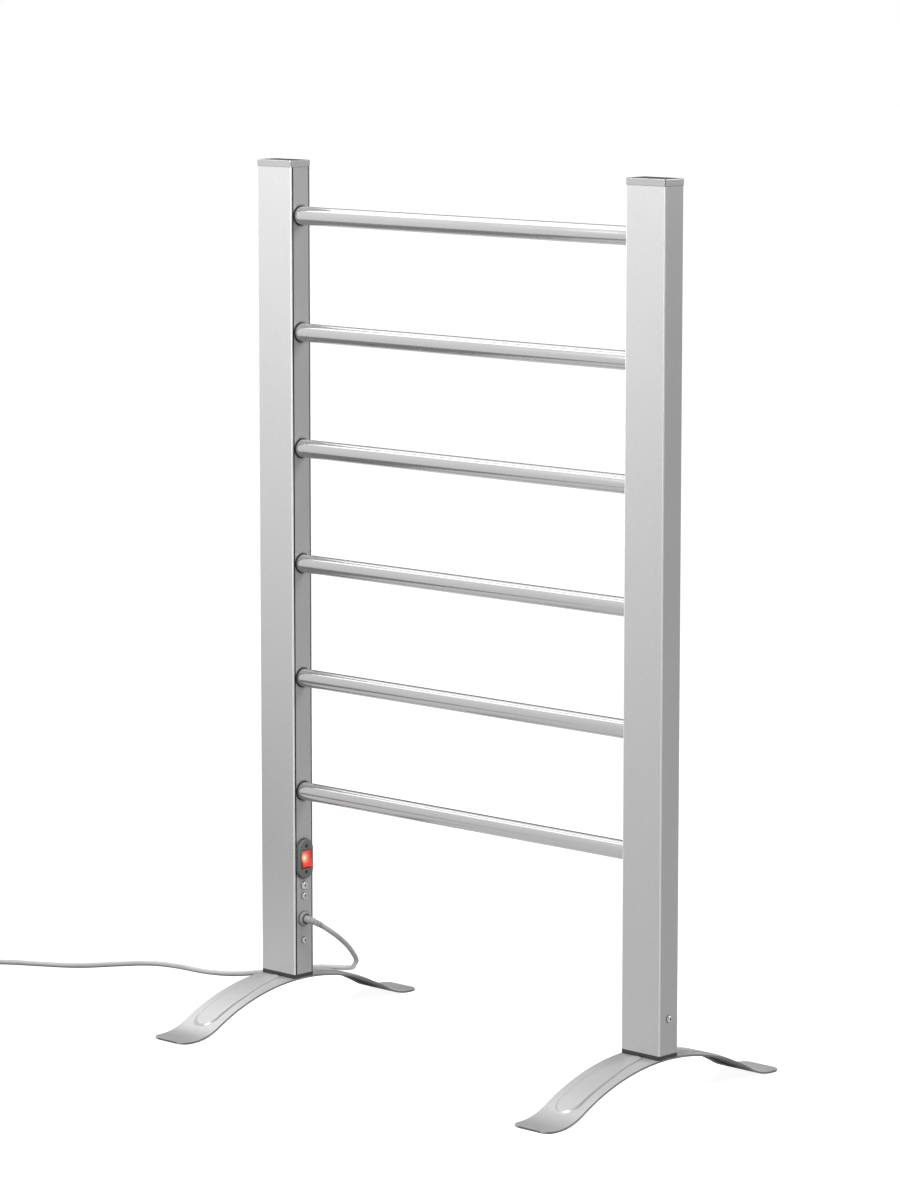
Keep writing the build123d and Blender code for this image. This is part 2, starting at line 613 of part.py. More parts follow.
def rocker_pivot():
    return Vector(outside(PIVOT_OUT), 0, SWITCH_Z)


def lever_pivot():
    return Vector(inside(LEVER_DEPTH), 0, SWITCH_Z)


def tilted(shape, pivot, angle):
    """The shape, made about the origin, turned about Y and set at its pivot."""
    return Pos(*pivot) * (Rot(0, angle, 0) * shape)


def switch_rocker():
    """Rocker with a dipped face, pressed in at the top as it is when on."""
    reach = ROCKER_SWING + PAST
    lift = reach * tan(radians(ROCKER_TILT))
    corners = [(-ROCKER_SKIRT, -reach), (ROCKER_DIP + lift, -reach), (ROCKER_DIP, 0),
               (ROCKER_DIP + lift, reach), (-ROCKER_SKIRT, reach)]
    outline = make_face(Polyline(*corners, close=True)) & Circle(ROCKER_SWING)
    rocker = extrude(Plane.XZ * outline, amount=ROCKER_WIDTH / 2, both=True)
    trunnion = ROCKER_WIDTH / 2 + BODY_WALL
    rocker += rod((0, -trunnion, 0), (0, trunnion, 0), TRUNNION_RADIUS)
    bore = ((-ROCKER_SKIRT - PAST, 0, 0), (-ROCKER_SKIRT + PLUNGER_BORE, 0, 0))
    rocker -= rod(*bore, PLUNGER_RADIUS + TRUNNION_GAP)
    return tilted(rocker, rocker_pivot(), -ROCKER_TILT)


def plunger_length():
    """Rocker pivot to plunger tip, short of the lever with the rocker at its middle."""
    return PIVOT_OUT + LEVER_DEPTH - LEVER_STANDOFF - LEVER_THICK / 2 - PLUNGER_GAP


def switch_plunger():
    """Spring-loaded pin carried in the rocker that rides on the contact lever."""
    reach = plunger_length()
    pin = rod((-reach, 0, 0), (-ROCKER_SKIRT + PLUNGER_BORE - FIT, 0, 0), PLUNGER_RADIUS)
    pin = fillet(pin.edges().filter_by(GeomType.CIRCLE).sort_by(Axis.X)[0], PLUNGER_TIP)
    return tilted(pin, rocker_pivot(), -ROCKER_TILT)


def contact_lever():
    """See-saw contact on its own axle, tilted against the rocker."""
    plate_x = (LEVER_STANDOFF - LEVER_THICK / 2, LEVER_STANDOFF + LEVER_THICK / 2)
    lever = block(plate_x, (-LEVER_WIDTH / 2, LEVER_WIDTH / 2), (-LEVER_HALF, LEVER_HALF))
    axle = LEVER_WIDTH / 2 + LEVER_SIDE_GAP + EAR_THICK - FIT
    lever += rod((0, -axle, 0), (0, axle, 0), LEVER_AXLE)
    return tilted(lever, lever_pivot(), LEVER_TILT)


def switch_body():
    """Open box behind the bezel with trunnion holes, axle ears and screw ears."""
    z = (SWITCH_Z - BODY_HALF_Z, SWITCH_Z + BODY_HALF_Z)
    body = block((inside(BODY_DEPTH), outside(BODY_FRONT)), (-BODY_HALF_Y, BODY_HALF_Y), z)
    cavity_z = (SWITCH_Z - CAVITY_HALF_Z, SWITCH_Z + CAVITY_HALF_Z)
    floor_x = inside(BODY_DEPTH - BODY_FLOOR)
    body -= block((floor_x, outside(BEZEL_RISE)), (-CAVITY_HALF_Y, CAVITY_HALF_Y), cavity_z)
    pivot = rocker_pivot()
    half = BODY_HALF_Y + PAST
    body -= rod((pivot.X, -half, pivot.Z), (pivot.X, half, pivot.Z), TRUNNION_RADIUS + TRUNNION_GAP)
    ear_x = (inside(PLATE + SLIP), inside(PLATE + SLIP + BODY_EAR))
    for height in bezel_screw_heights():
        way = 1 if height > SWITCH_Z else -1
        ear_end = height + way * (BEZEL_SCREW_RADIUS + EAR_THICK)
        body += block(ear_x, (-BODY_HALF_Y / 2, BODY_HALF_Y / 2), (SWITCH_Z + way * BODY_HALF_Z, ear_end))
        body -= rod((ear_x[0] + PAST, 0, height), (ear_x[1] - PAST, 0, height), BEZEL_SCREW_RADIUS + FIT)
    axle = lever_pivot()
    for side in (-1, 1):
        near = LEVER_WIDTH / 2 + LEVER_SIDE_GAP
        ear_y = (side * near, side * (near + EAR_THICK))
        ear = block((floor_x, axle.X + 2 * LEVER_AXLE), ear_y, (SWITCH_Z - EAR_HALF, SWITCH_Z + EAR_HALF))
        body += ear - rod((axle.X, 2 * ear_y[1], axle.Z), (axle.X, 0, axle.Z), LEVER_AXLE + TRUNNION_GAP)
    for tab_z in tab_heights():
        slot_z = (tab_z - TAB_THICK / 2 - FIT / 2, tab_z + TAB_THICK / 2 + FIT / 2)
        slot_y = TAB_WIDTH / 2 + FIT / 2
        body -= block((inside(BODY_DEPTH + PAST), floor_x + PAST), (-slot_y, slot_y), slot_z)
    return body


def tab_heights():
    return [SWITCH_Z + side * TAB_PITCH for side in (-1, 0, 1)]


def switch_tabs():
    """Three flat terminals through the floor of the switch body."""
    tabs = []
    under_axle = LEVER_DEPTH + LEVER_AXLE
    under_lever = LEVER_DEPTH - LEVER_STANDOFF + LEVER_THICK / 2 + TAB_PITCH * sin(radians(LEVER_TILT))
    for z, inner_end in zip(tab_heights(), (under_lever, under_axle, under_lever)):
        x = (inside(BODY_DEPTH + TAB_REACH), inside(inner_end + CONTACT_GAP))
        tabs.append(block(x, (-TAB_WIDTH / 2, TAB_WIDTH / 2), (z - TAB_THICK / 2, z + TAB_THICK / 2)))
    return group(tabs)


def switch_lamp():
    """Small lamp across the switch body that lights the rocker from behind."""
    half = CAVITY_HALF_Y - FIT
    x, z = inside(LAMP_DEPTH), SWITCH_Z + LAMP_Z
    lamp = rod((x, -half, z), (x, half, z), LAMP_RADIUS)
    return fillet(lamp.edges().filter_by(GeomType.CIRCLE), LAMP_RADIUS / 2)


# Cord entry

def cord_gland():
    """Snap-in bush with a dished flange and catches behind the plate."""
    z = GLAND_Z
    flange = rod((outside(0), 0, z), (outside(GLAND_FLANGE), 0, z), GLAND_RADIUS)
    flange = fillet(flange.edges().filter_by(GeomType.CIRCLE).sort_by(Axis.X)[-1], GLAND_RIM)
    dish_start = outside(GLAND_FLANGE - GLAND_DISH)
    flange -= rod((dish_start, 0, z), (outside(GLAND_FLANGE + PAST), 0, z), GLAND_RADIUS - 2 * GLAND_RIM)
    barrel = rod((outside(0), 0, z), (inside(GLAND_REACH), 0, z), GLAND_BARREL)
    catch = ring((inside(PLATE + SLIP), 0, z), (inside(PLATE + SLIP + GLAND_CATCH), 0, z),
                 GLAND_BARREL + GLAND_CATCH, GLAND_BARREL - GLAND_CATCH)
    bore = rod((inside(GLAND_REACH + PAST), 0, z), (outside(GLAND_FLANGE + PAST), 0, z), CORD_RADIUS + FIT)
    return flange + barrel + catch - bore


def cord_exit():
    return Vector(outside(GLAND_FLANGE - GLAND_DISH), 0, GLAND_Z)


def relief_path():
    """Arc that starts square to the flange and ends along the cord's first run."""
    start = cord_exit()
    square = Vector(1, 0, 0)
    leave = Vector(*CORD_LEAVE).normalized()
    turn = radians(square.get_angle(leave))
    chord = 2 * RELIEF_LENGTH / turn * sin(turn / 2)
    end = start + (square + leave).normalized() * chord
    return TangentArc(start, end, tangent=square)


def cord_relief():
    """Tapered boot that leads the cord out of its bush."""
    path = relief_path()
    root = Plane(origin=path @ 0, z_dir=path % 0) * Circle(RELIEF_ROOT)
    tip = Plane(origin=path @ 1, z_dir=path % 1) * Circle(RELIEF_TIP)
    return sweep([root, tip], path=path, multisection=True)


def cord_tail():
    """Cord inside the post: in through the bush, up through the clamp."""
    x = inside(TAIL_DEPTH)
    points = [(cord_exit().X, 0, GLAND_Z), (x, 0, GLAND_Z), (x, 0, TAIL_TOP)]
    return bent_rod(points, [TAIL_BEND], CORD_RADIUS)


def cord_clamp():
    """Saddle screwed to the plate that grips the cord inside the post."""
    x = (inside(LEDGE_BACK + SLIP), inside(TAIL_DEPTH + CORD_RADIUS + WALL))
    z = (CLAMP_SCREW_Z - CLAMP_HEIGHT / 2, CLAMP_SCREW_Z + CLAMP_HEIGHT / 2)
    narrow = WALL_INSIDE - LEDGE - SLIP
    clamp = block(x, (-CLAMP_WIDTH / 2, CLAMP_WIDTH / 2), z)
    clamp += block((inside(PLATE), x[0]), (-narrow / 2, narrow / 2), z)
    cord_x = inside(TAIL_DEPTH)
    clamp -= rod((cord_x, 0, z[0] - PAST), (cord_x, 0, z[1] + PAST), CORD_RADIUS + FIT)
    screw_end = inside(SCREW_REACH + FIT)
    return clamp - rod((inside(0), 0, CLAMP_SCREW_Z), (screw_end, 0, CLAMP_SCREW_Z), SCREW_RADIUS + FIT)


def terminal_back():
    """X of the terminal block's rear face."""
    return inside(LEDGE_BACK + SLIP + TERMINAL_DEPTH)


def terminal_block():
    """Block on the earthing screw where the return and the lead wires meet."""
    x = (inside(LEDGE_BACK + SLIP), terminal_back())
    z = (EARTH_SCREW_Z - TERMINAL_HEIGHT / 2, EARTH_SCREW_Z + TERMINAL_HEIGHT / 2)
    narrow = WALL_INSIDE - LEDGE - SLIP
    base = block(x, (-TERMINAL_WIDTH / 2, TERMINAL_WIDTH / 2), z)
    base += block((inside(PLATE), x[0]), (-narrow / 2, narrow / 2), z)
    screw_end = inside(SCREW_REACH + FIT)
    return base - rod((inside(0), 0, EARTH_SCREW_Z), (screw_end, 0, EARTH_SCREW_Z), SCREW_RADIUS + FIT)


def lead_wires():
    """Two conductors from the cord's end: to the lower switch tab and to the terminal block."""
    x, tab_x, tab_z = inside(TAIL_DEPTH), inside(BODY_DEPTH + TAB_REACH), tab_heights()[0]
    back = inside(TAIL_DEPTH + LIVE_BACK)
    live = [(x, TAIL_TOP), (x, TAIL_TOP + LIVE_RISE), (back, TAIL_TOP + LIVE_RISE + LIVE_SWING),
            (back, tab_z), (tab_x, tab_z)]
    entry_z = EARTH_SCREW_Z + TERMINAL_HEIGHT / 2 - NEUTRAL_DROP
    neutral = [(x, TAIL_TOP), (x, entry_z), (terminal_back(), entry_z)]
    live_path = [(px, LIVE_Y, pz) for px, pz in live]
    neutral_path = [(px, NEUTRAL_Y, pz) for px, pz in neutral]
    bends = [LIVE_BEND, LIVE_BEND, LIVE_BEND]
    return group([bent_rod(live_path, bends, LEAD_RADIUS),
                  bent_rod(neutral_path, [NEUTRAL_BEND], LEAD_RADIUS)])


# Cord on the floor, its coil and the plug

def cord_points():
    """Route from the relief's tip to the coil, as far as the cord isn't wound."""
    start = relief_path() @ 1
    first = start + Vector(*CORD_LEAVE).normalized() * CORD_FIRST_RUN
    return [(p.X, p.Y, p.Z) for p in (start, first)] + CORD_ROUTE


def power_cord():
    points = cord_points()
    radii = corner_radii(points)
    path = FilletPolyline(*points, radius=radii)
    tube = sweep(Plane(origin=path @ 0, z_dir=path % 0) * Circle(CORD_RADIUS), path=path)
    area = pi * CORD_RADIUS ** 2
    print("cord radii", [round(r, 1) for r in radii], "length", round(path.length, 1),
          "volume ratio", round(tube.volume / (area * path.length), 5))
    return tube


def coil_centre():
    """Centre of the turns, beside the cord's last point and square to its last run."""
    last, before = Vector(*CORD_ROUTE[-1]), Vector(*CORD_ROUTE[-2])
    along = (last - before).normalized()
    return last + along * CORD_DIAMETER + Vector(-along.Y, along.X, 0) * coil_reach()


def coil_reach():
    """Radius of the outermost turn."""
    return COIL_RADIUS + (CORD_DIAMETER + COIL_GAP) * COIL_TURNS / 4


def coil_angles():
    """Start angle and total angle of the winding, in degrees."""
    last, before = CORD_ROUTE[-1], CORD_ROUTE[-2]
    start = degrees(atan2(last[1] - before[1], last[0] - before[0])) - QUARTER_TURN
    return start, 360 * COIL_TURNS + (COIL_END - start) % 360


def eased(share):
    """Smooth step from 0 to 1."""
    share = min(max(share, 0), 1)
    return share * share * (3 - 2 * share)


def coil_point(turned):
    """Point on the winding: two layers, spiralling in below and out above."""
    start, total = coil_angles()
    middle, blend = total / 2, COIL_REVERSE / 2
    away = abs(turned - middle)
    if away < blend:
        away = (blend + away * away / blend) / 2
    radius = coil_reach() - (CORD_DIAMETER + COIL_GAP) * (middle - away) / 360
    layer = CORD_DIAMETER + LAYER_GAP
    climb = eased((turned - middle + blend) / COIL_REVERSE)
    rise = eased((turned - total + PLUG_CLIMB) / PLUG_CLIMB)
    z = CORD_RADIUS + layer * climb + (PLUG_AXIS - CORD_RADIUS - layer) * rise
    angle = radians(start + turned)
    centre = coil_centre()
    return Vector(centre.X + radius * cos(angle), centre.Y + radius * sin(angle), z)


def biarc(start, leave, end, arrive):
    """Two tangent arcs between two points with given directions."""
    across, both = end - start, leave + arrive
    slack = 2 * (1 - leave.dot(arrive))
    reach = (-across.dot(both) + sqrt(across.dot(both) ** 2 + slack * across.dot(across))) / slack
    middle = (start + end + (leave - arrive) * reach) / 2
    join = (end - start - both * reach).normalized()
    return [TangentArc(start, middle, tangent=leave), TangentArc(middle, end, tangent=join)]


def coil_path():
    """Quarter turns as biarcs, with a straight tube diameter at each end."""
    total = coil_angles()[1]
    quarters = round(total / QUARTER_TURN)
    steps = [total * k / quarters for k in range(quarters + 1)]
    small = 0.01  # degrees each side for the slope
    points = [coil_point(step) for step in steps]
    tangents = [(coil_point(step + small) - coil_point(step - small)).normalized() for step in steps]
    ahead = [radians(coil_angles()[0] + QUARTER_TURN + step) for step in (0, total)]
    flat = [Vector(cos(a), sin(a), 0) for a in ahead]
    tangents[0], tangents[-1] = flat
    edges = [Line(points[0] - flat[0] * CORD_DIAMETER, points[0])]
    for k in range(quarters):
        edges += biarc(points[k], tangents[k], points[k + 1], tangents[k + 1])
    edges.append(Line(points[-1], points[-1] + flat[1] * PLUG_LEAD))
    return Wire(edges)


def least_self_gap(path):
    """Smallest clear distance between stretches of the winding that lie far apart along it."""
    count = int(path.length / SAMPLE_STEP)
    points = [path.position_at(k / count) for k in range(count + 1)]
    skip = int(SAMPLE_APART / SAMPLE_STEP)
    gaps = [(points[i] - points[j]).length for i in range(count) for j in range(i + skip, count + 1)]
    return min(gaps) - CORD_DIAMETER


def cord_coil(path):
    tube = sweep(Plane(origin=path @ 0, z_dir=path % 0) * Circle(CORD_RADIUS), path=path)
    print("coil length", round(path.length, 1), "least gap", round(least_self_gap(path), 2),
          "volume ratio", round(tube.volume / (pi * CORD_RADIUS ** 2 * path.length), 5))
    return tube


def plug_frame(path):
    """Plane at the cord's end: x sideways, y up, z towards the blades."""
    along = path % 1
    return Plane(origin=path @ 1, x_dir=(along.Y, -along.X, 0), z_dir=along)


def plug_body(frame):
    """Moulded plug with a tapered neck and pockets for the blades."""
    neck = loft([Circle(PLUG_NECK_RADIUS), Pos(0, 0, PLUG_NECK) * Circle(PLUG_HIGH / 2 - PLUG_ROUND)])
    section = Pos(0, 0, PLUG_NECK) * RectangleRounded(PLUG_WIDE, PLUG_HIGH, PLUG_ROUND)
    body = extrude(section, amount=PLUG_BODY)
    back_edges = body.faces().sort_by(Axis.Z)[0].edges()
    body = fillet(back_edges, PLUG_ROUND / 2) + neck
    return frame * (body - group(plug_pins()))


def plug_pins():
    """Two flat blades and a round earth pin, in the plug's own frame."""
    face = PLUG_NECK + PLUG_BODY
    shift = EARTH_PIN_OFFSET / 2
    pins = []
    for side in (-1, 1):
        y = side * BLADE_PITCH / 2
        pins.append(block((-shift - BLADE_WIDTH / 2, -shift + BLADE_WIDTH / 2),
                          (y - BLADE_THICK / 2, y + BLADE_THICK / 2), (face - PIN_ROOT, face + BLADE_REACH)))
    pin = rod((shift, 0, face - PIN_ROOT), (shift, 0, face + EARTH_PIN_REACH), EARTH_PIN_RADIUS)
    pins.append(fillet(pin.edges().filter_by(GeomType.CIRCLE).sort_by(Axis.Z)[-1], EARTH_PIN_TIP))
    return pins


# Assembly

both_posts("post_channel", post_channel())
nodes["right_inner_plate"] = inner_plate()
nodes["left_inner_plate"] = switch_plate()
both_posts("top_cap", top_cap())
both_posts("foot", foot())
both_posts("base_gasket", base_gasket())
both_posts("base_block", base_block())
both_posts("foot_bolts", group(foot_bolt(x) for x in bolt_places()))
base_screws = [pan_screw(INNER, BASE_SCREW_Z, -1), pan_screw(INNER + POST_WIDTH, BASE_SCREW_Z, 1)]
both_posts("base_screws", group(base_screws))

for number, bar_z in enumerate(BAR_HEIGHTS, 1):
    nodes[f"bar_{number}"] = bar(bar_z)
    nodes[f"heating_wire_{number}"] = heating_wire(bar_z)
both_posts("bar_grommets", group(bar_grommet(z) for z in BAR_HEIGHTS))
both_posts("bar_clips", group(bar_clip(z) for z in BAR_HEIGHTS))
both_posts("bar_end_plugs", group(bar_end_plug(z) for z in BAR_HEIGHTS))
nodes["right_wire_links"] = links(1, 0)
nodes["left_wire_links"] = links(-1, 1)
nodes["feed_wire"] = feed_wire()
nodes["return_wires"] = return_wires()
nodes["thermal_cutout"] = thermal_cutout()

nodes["switch_bezel"] = switch_bezel()
nodes["bezel_screws"] = group(bezel_screw(z) for z in bezel_screw_heights())
nodes["switch_rocker"] = switch_rocker()
nodes["switch_plunger"] = switch_plunger()
nodes["contact_lever"] = contact_lever()
nodes["switch_body"] = switch_body()
nodes["switch_tabs"] = switch_tabs()
nodes["switch_lamp"] = switch_lamp()

nodes["earth_screw"] = pan_screw(outside(0), EARTH_SCREW_Z, 1, EARTH_SCREW_HEAD)
nodes["clamp_screw"] = pan_screw(outside(0), CLAMP_SCREW_Z, 1)
nodes["cord_gland"] = cord_gland()
nodes["cord_relief"] = cord_relief()
nodes["cord_tail"] = cord_tail()
nodes["cord_clamp"] = cord_clamp()
nodes["terminal_block"] = terminal_block()
nodes["lead_wires"] = lead_wires()
nodes["power_cord"] = power_cord()
winding = coil_path()
nodes["cord_coil"] = cord_coil(winding)
nodes["plug_body"] = plug_body(plug_frame(winding))
nodes["plug_pins"] = plug_frame(winding) * group(plug_pins())

os.makedirs("parts", exist_ok=True)
for name, shape in nodes.items():
    export_step(shape, f"parts/{name}.step")
print(len(nodes), "nodes, rocker pivot", rocker_pivot(), "lever pivot", lever_pivot())
print("cord exit", cord_exit(), "relief tip", relief_path() @ 1)
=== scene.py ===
import json
import math

import bmesh
import bpy
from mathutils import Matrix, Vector

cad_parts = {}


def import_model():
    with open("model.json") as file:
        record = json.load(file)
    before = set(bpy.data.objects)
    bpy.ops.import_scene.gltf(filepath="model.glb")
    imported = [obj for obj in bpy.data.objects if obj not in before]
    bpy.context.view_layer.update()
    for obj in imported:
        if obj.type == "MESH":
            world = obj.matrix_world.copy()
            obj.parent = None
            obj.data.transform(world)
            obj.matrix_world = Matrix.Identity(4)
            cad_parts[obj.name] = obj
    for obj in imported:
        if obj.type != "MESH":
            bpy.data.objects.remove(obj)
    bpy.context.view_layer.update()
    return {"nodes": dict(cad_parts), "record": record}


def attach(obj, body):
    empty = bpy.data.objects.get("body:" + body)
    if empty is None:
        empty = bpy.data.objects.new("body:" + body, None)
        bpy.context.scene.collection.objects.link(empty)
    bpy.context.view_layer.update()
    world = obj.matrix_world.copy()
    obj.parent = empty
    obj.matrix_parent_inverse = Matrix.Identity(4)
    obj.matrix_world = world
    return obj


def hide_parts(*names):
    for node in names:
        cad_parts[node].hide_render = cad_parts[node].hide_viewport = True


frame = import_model()
cad_nodes = frame["nodes"]

# The rack stands on z = 0, its bars run along X, and everything is in metres.
X_AXIS = Vector((1, 0, 0))
Y_AXIS = Vector((0, 1, 0))
Z_AXIS = Vector((0, 0, 1))

# Camera: a long lens from the right front, a little above the top of the rack
CAMERA_PLACE = (3.19595, -3.35483, 1.15977)
CAMERA_TURN = 43.7626      # degrees from +Y towards -X
CAMERA_DIP = 8.3708        # degrees below the horizon
CAMERA_LENS = 136.82
CAMERA_REACH = 30
SENSOR = 36.0

# Cord route, the same points as its solid, and the coil that the photo doesn't show
CORD_DIAMETER = 0.0056
CORD_EXIT = (-0.2315, 0.0, 0.1085)
CORD_LEAVE = (0.42, 0.72, -0.55)
CORD_FIRST_RUN = 0.014
CORD_ROUTE = [
    (-0.2075, 0.0330, 0.0825), (-0.2140, 0.0510, 0.0695), (-0.2360, 0.0820, 0.0500),
    (-0.2800, 0.1240, 0.0320), (-0.3210, 0.1630, 0.0170), (-0.3410, 0.1810, 0.0075),
    (-0.3574, 0.1854, 0.0040), (-0.3740, 0.1819, 0.0028), (-0.3872, 0.1712, 0.0028),
    (-0.3994, 0.1438, 0.0028), (-0.4130, 0.1080, 0.0028), (-0.4280, 0.0790, 0.0028),
    (-0.4620, 0.0650, 0.0028), (-0.5040, 0.0645, 0.0028), (-0.5380, 0.0540, 0.0028),
    (-0.5620, 0.0210, 0.0028), (-0.5850, -0.0140, 0.0028), (-0.6240, -0.0370, 0.0028),
    (-0.6590, -0.0560, 0.0028), (-0.6910, -0.0860, 0.0028),
]
COIL_RADIUS = 0.029
COIL_TURNS = 4
COIL_PITCH = 0.0062        # between two turns of one layer
COIL_LAYER = 0.0061        # from the lower layer to the upper one
COIL_END = 229.0           # degrees from +X, seen from the coil's middle
COIL_REVERSE = 180.0       # degrees over which the cord climbs to the upper layer
COIL_STEP = 20.0           # degrees between the coil's points
PLUG_CLIMB = 120.0         # degrees over which the cord climbs to the plug
PLUG_AXIS = 0.0116
PLUG_LEAD = 0.012

# Strain relief
RELIEF_ROOT = 0.0043
RELIEF_TIP = 0.0033
RELIEF_LENGTH = 0.020
RELIEF_GROOVE = 0.0005
RELIEF_RINGS = 24
RELIEF_RIB_RINGS = 4       # rings of one rib and the groove after it
RELIEF_SIDES = 32

# Rack sizes that the pieces below share with the solids
INNER_GAP = 0.468
POST_WIDTH = 0.051
POST_DEPTH = 0.027
BAR_COUNT = 6
BAR_RADIUS = 0.00965
BAR_WALL = 0.0012
BAR_TAIL = 0.008           # part of a bar inside each post
TOP_BAR = 0.862
BAR_PITCH = 0.1228
FOOT_LENGTH = 0.354
FOOT_APEX = 0.0446
FOOT_SHEET = 0.002
TOE_RADIUS = 0.070
TOE_FLAT = 0.0143
TOE_CORNER = 0.011
ARCH_RISE = FOOT_APEX - FOOT_SHEET
ARCH_SPAN = FOOT_LENGTH / 2 - TOE_FLAT
ARCH_RADIUS = (ARCH_SPAN ** 2 + ARCH_RISE ** 2) / (2 * ARCH_RISE) - TOE_RADIUS

# Raised panel on each arm of a foot, measured from the foot's middle
PANEL_START = 0.0146
PANEL_END = 0.1332
PANEL_NOSE = 0.0092        # half width where the panel starts
PANEL_HALF = 0.0154        # half width from the shoulder on
PANEL_SHOULDER = 0.075
PANEL_RISE = 0.0016
PANEL_FLANK = 0.0026       # width of the panel's sloping edge
PANEL_FRONT_FLANK = 0.0045 # and at the panel's round end

# Fineness of the meshes
BAR_SIDES = 96
BAR_STATIONS = 60
FOOT_MESH = 0.00085        # spacing of the foot's mesh
FOOT_EDGE = 0.0003
FOOT_EDGE_ANGLE = 60       # degrees; edges that are sharper are rounded
TOE_STEPS = 10
SMOOTH_ANGLE = 40          # degrees; faces that meet at less are shaded as one

# Order of a foot's materials after its top
UNDER_INDEX = 1
TOE_RIM_INDEX = 2

# Grain and tone of the metals, and of plastics and rubber; noise scales are cells in a metre
EVEN = (1, 1, 1)
ALONG_X = (0.5, 1, 1)
ALONG_Y = (1, 0.5, 1)
ALONG_Z = (1, 1, 0.5)
WHITE = (1, 1, 1)
NOISE_LOW = 0.3            # nearly all of the noise lies between these
NOISE_HIGH = 0.7
METAL_GRAIN = 1400
METAL_CLOUD = 9
METAL_DEPTH = 0.00001
METAL_BUMP = 0.5
METAL_GLOSS_SWING = 0.03
METAL_TONES = (0.95, 1.04)
MOULD_GRAIN = 900
MOULD_CLOUD = 40
MOULD_DEPTH = 0.00003
MOULD_BUMP = 0.6
MOULD_GLOSS_SWING = 0.06
MOULD_TONES = (0.92, 1.08)

# Painted shade in gaps and corners
OPEN_SAMPLES = 8
OPEN_SHARES = (0.3, 0.85)  # open surroundings at which a face's painted shade is darkest, and at which it has none
GAP_SHADE = 0.06
GAP_SHADE_REACH = 0.003
PLATE_SHADE_REACH = 0.006  # round the bars' bushes the plates' painted shade reaches further

# Painted highlight and painted shade on edges that are brighter or darker than their faces, and painted
# shade on the feet's undersides
MASK_SOFTNESS = 0.0001
LIP_START = POST_DEPTH / 2 - 0.0008                 # from the post's middle plane to its lips
LIP_END = INNER_GAP / 2 + 0.0014                    # where the rounding of a post's lip ends
CORNER_START = INNER_GAP / 2 + POST_WIDTH - 0.0013  # where the painted highlight on a post's outer corner starts
# where the painted seam shadow on a plate's front edge starts
SEAM_SHADE_START = POST_DEPTH / 2 - 0.0028
FLANK_SHADE = (0.35, 0.75) # lean towards +X over which painted shade darkens the feet's panel edges and rims
UNDER_PALE = 0.040         # from the middle of a foot to where the painted shade on its underside starts to get darker
UNDER_DARK = 0.125         # and to where it is darkest
# greys of the painted shade on the underside, where it is palest and where it is darkest
UNDER_PALE_GREY = 0.22
UNDER_DARK_GREY = 0.008

# Lit rocker
ROCKER_GLOW = (-0.2300, -0.0030, 0.1760)
ROCKER_GLOW_REACH = 0.0095
# painted shade in the gaps round the rocker reaches this far
ROCKER_SHADE_REACH = 0.003
ROCKER_RED = (0.70, 0.035, 0.012)
# dark red of the rocker's painted shade in those gaps
ROCKER_GAP_SHADE = (0.02, 0.004, 0.003)
GLOW_RIM = (0.85, 0.045, 0.020)
GLOW_HEART = (1.0, 0.60, 0.34)
GLOW_STRENGTHS = (0.40, 2.2)
ROCKER_GRAIN = 700

# Studio
AMBIENT = 0.26
SEEN_RAYS = ("Is Camera Ray", "Is Glossy Ray", "Is Transmission Ray")
MIRRORED_RAYS = ("Is Glossy Ray", "Is Transmission Ray")
FLOOR_HALF = 60.0
FLOOR_SQUARES = 8
FLOOR_BOUNCE = 0.3
FLOOR_SEEN = 0.5
FLOOR_GLOW = 0.93
CARD_ROUGHNESS = 0.9
# name, place, aim, size, power, spread in degrees
LAMPS = (
    ("top", (-1.72, 0.08, 2.1), (-1.72, 0.08, 0.0), (1.7, 1.45), 15.0, 180.0),
    ("front", (-0.42, -1.3, 1.65), (0.0, 0.0, 1.1), (0.7, 0.5), 12.0, 105.0),
    ("edge", (0.5, -2.6, 1.0), (0.0, 0.0, 0.6), (0.15, 1.6), 4.5, 180.0),
    ("side", (1.2, 0.9, 1.6), (0.0, 0.0, 0.8), (0.7, 0.7), 6.8, 150.0),
)
# name, place, aim, size, grey level
CARDS = (
    ("card_behind_camera", (3.9, -4.0, 1.2), (0.0, 0.0, 0.6), (5.5, 3.0), 0.02),
    ("card_on_floor", (-1.15, -0.35, 0.015), (-1.15, -0.35, 1.0), (1.0, 1.2), 0.15),
    ("card_at_back", (-2.6, 2.7, 1.4), (0.0, 0.0, 0.6), (2.6, 2.0), 0.02),
    ("card_at_right", (2.3, 2.4, 0.4), (0.0, 0.0, 0.6), (2.2, 0.45), 0.4),
)


scene = bpy.context.scene
scene.view_settings.view_transform = "Standard"


# Camera

def make_camera():
    data = bpy.data.cameras.new("camera")
    data.sensor_width = SENSOR
    data.lens = CAMERA_LENS
    data.clip_end = CAMERA_REACH
    camera = bpy.data.objects.new("camera", data)
    camera.location = CAMERA_PLACE
    camera.rotation_euler = (math.radians(90 - CAMERA_DIP), 0, math.radians(CAMERA_TURN))
    scene.collection.objects.link(camera)
    scene.camera = camera


# Forms that several pieces share

def eased(share):
    """A share from zero to one, with a soft start and end."""
    share = min(max(share, 0), 1)
    return share * share * (3 - 2 * share)


def ring(mesh, centre, first, second, radius, sides):
    """Vertices of a circle round a centre, in the plane of two directions."""
    turns = [math.tau * side / sides for side in range(sides)]
    return [mesh.verts.new(centre + (first * math.cos(a) + second * math.sin(a)) * radius) for a in turns]


def join_rings(mesh, first, second):
    """Band of faces between two rings of the same number of vertices."""
    count = len(first)
    for k in range(count):
        after = (k + 1) % count
        mesh.faces.new((first[k], first[after], second[after], second[k]))


def join_row(mesh, rings):
    """Bands of faces from each ring of a row to the next."""
    for first, second in zip(rings, rings[1:]):
        join_rings(mesh, first, second)


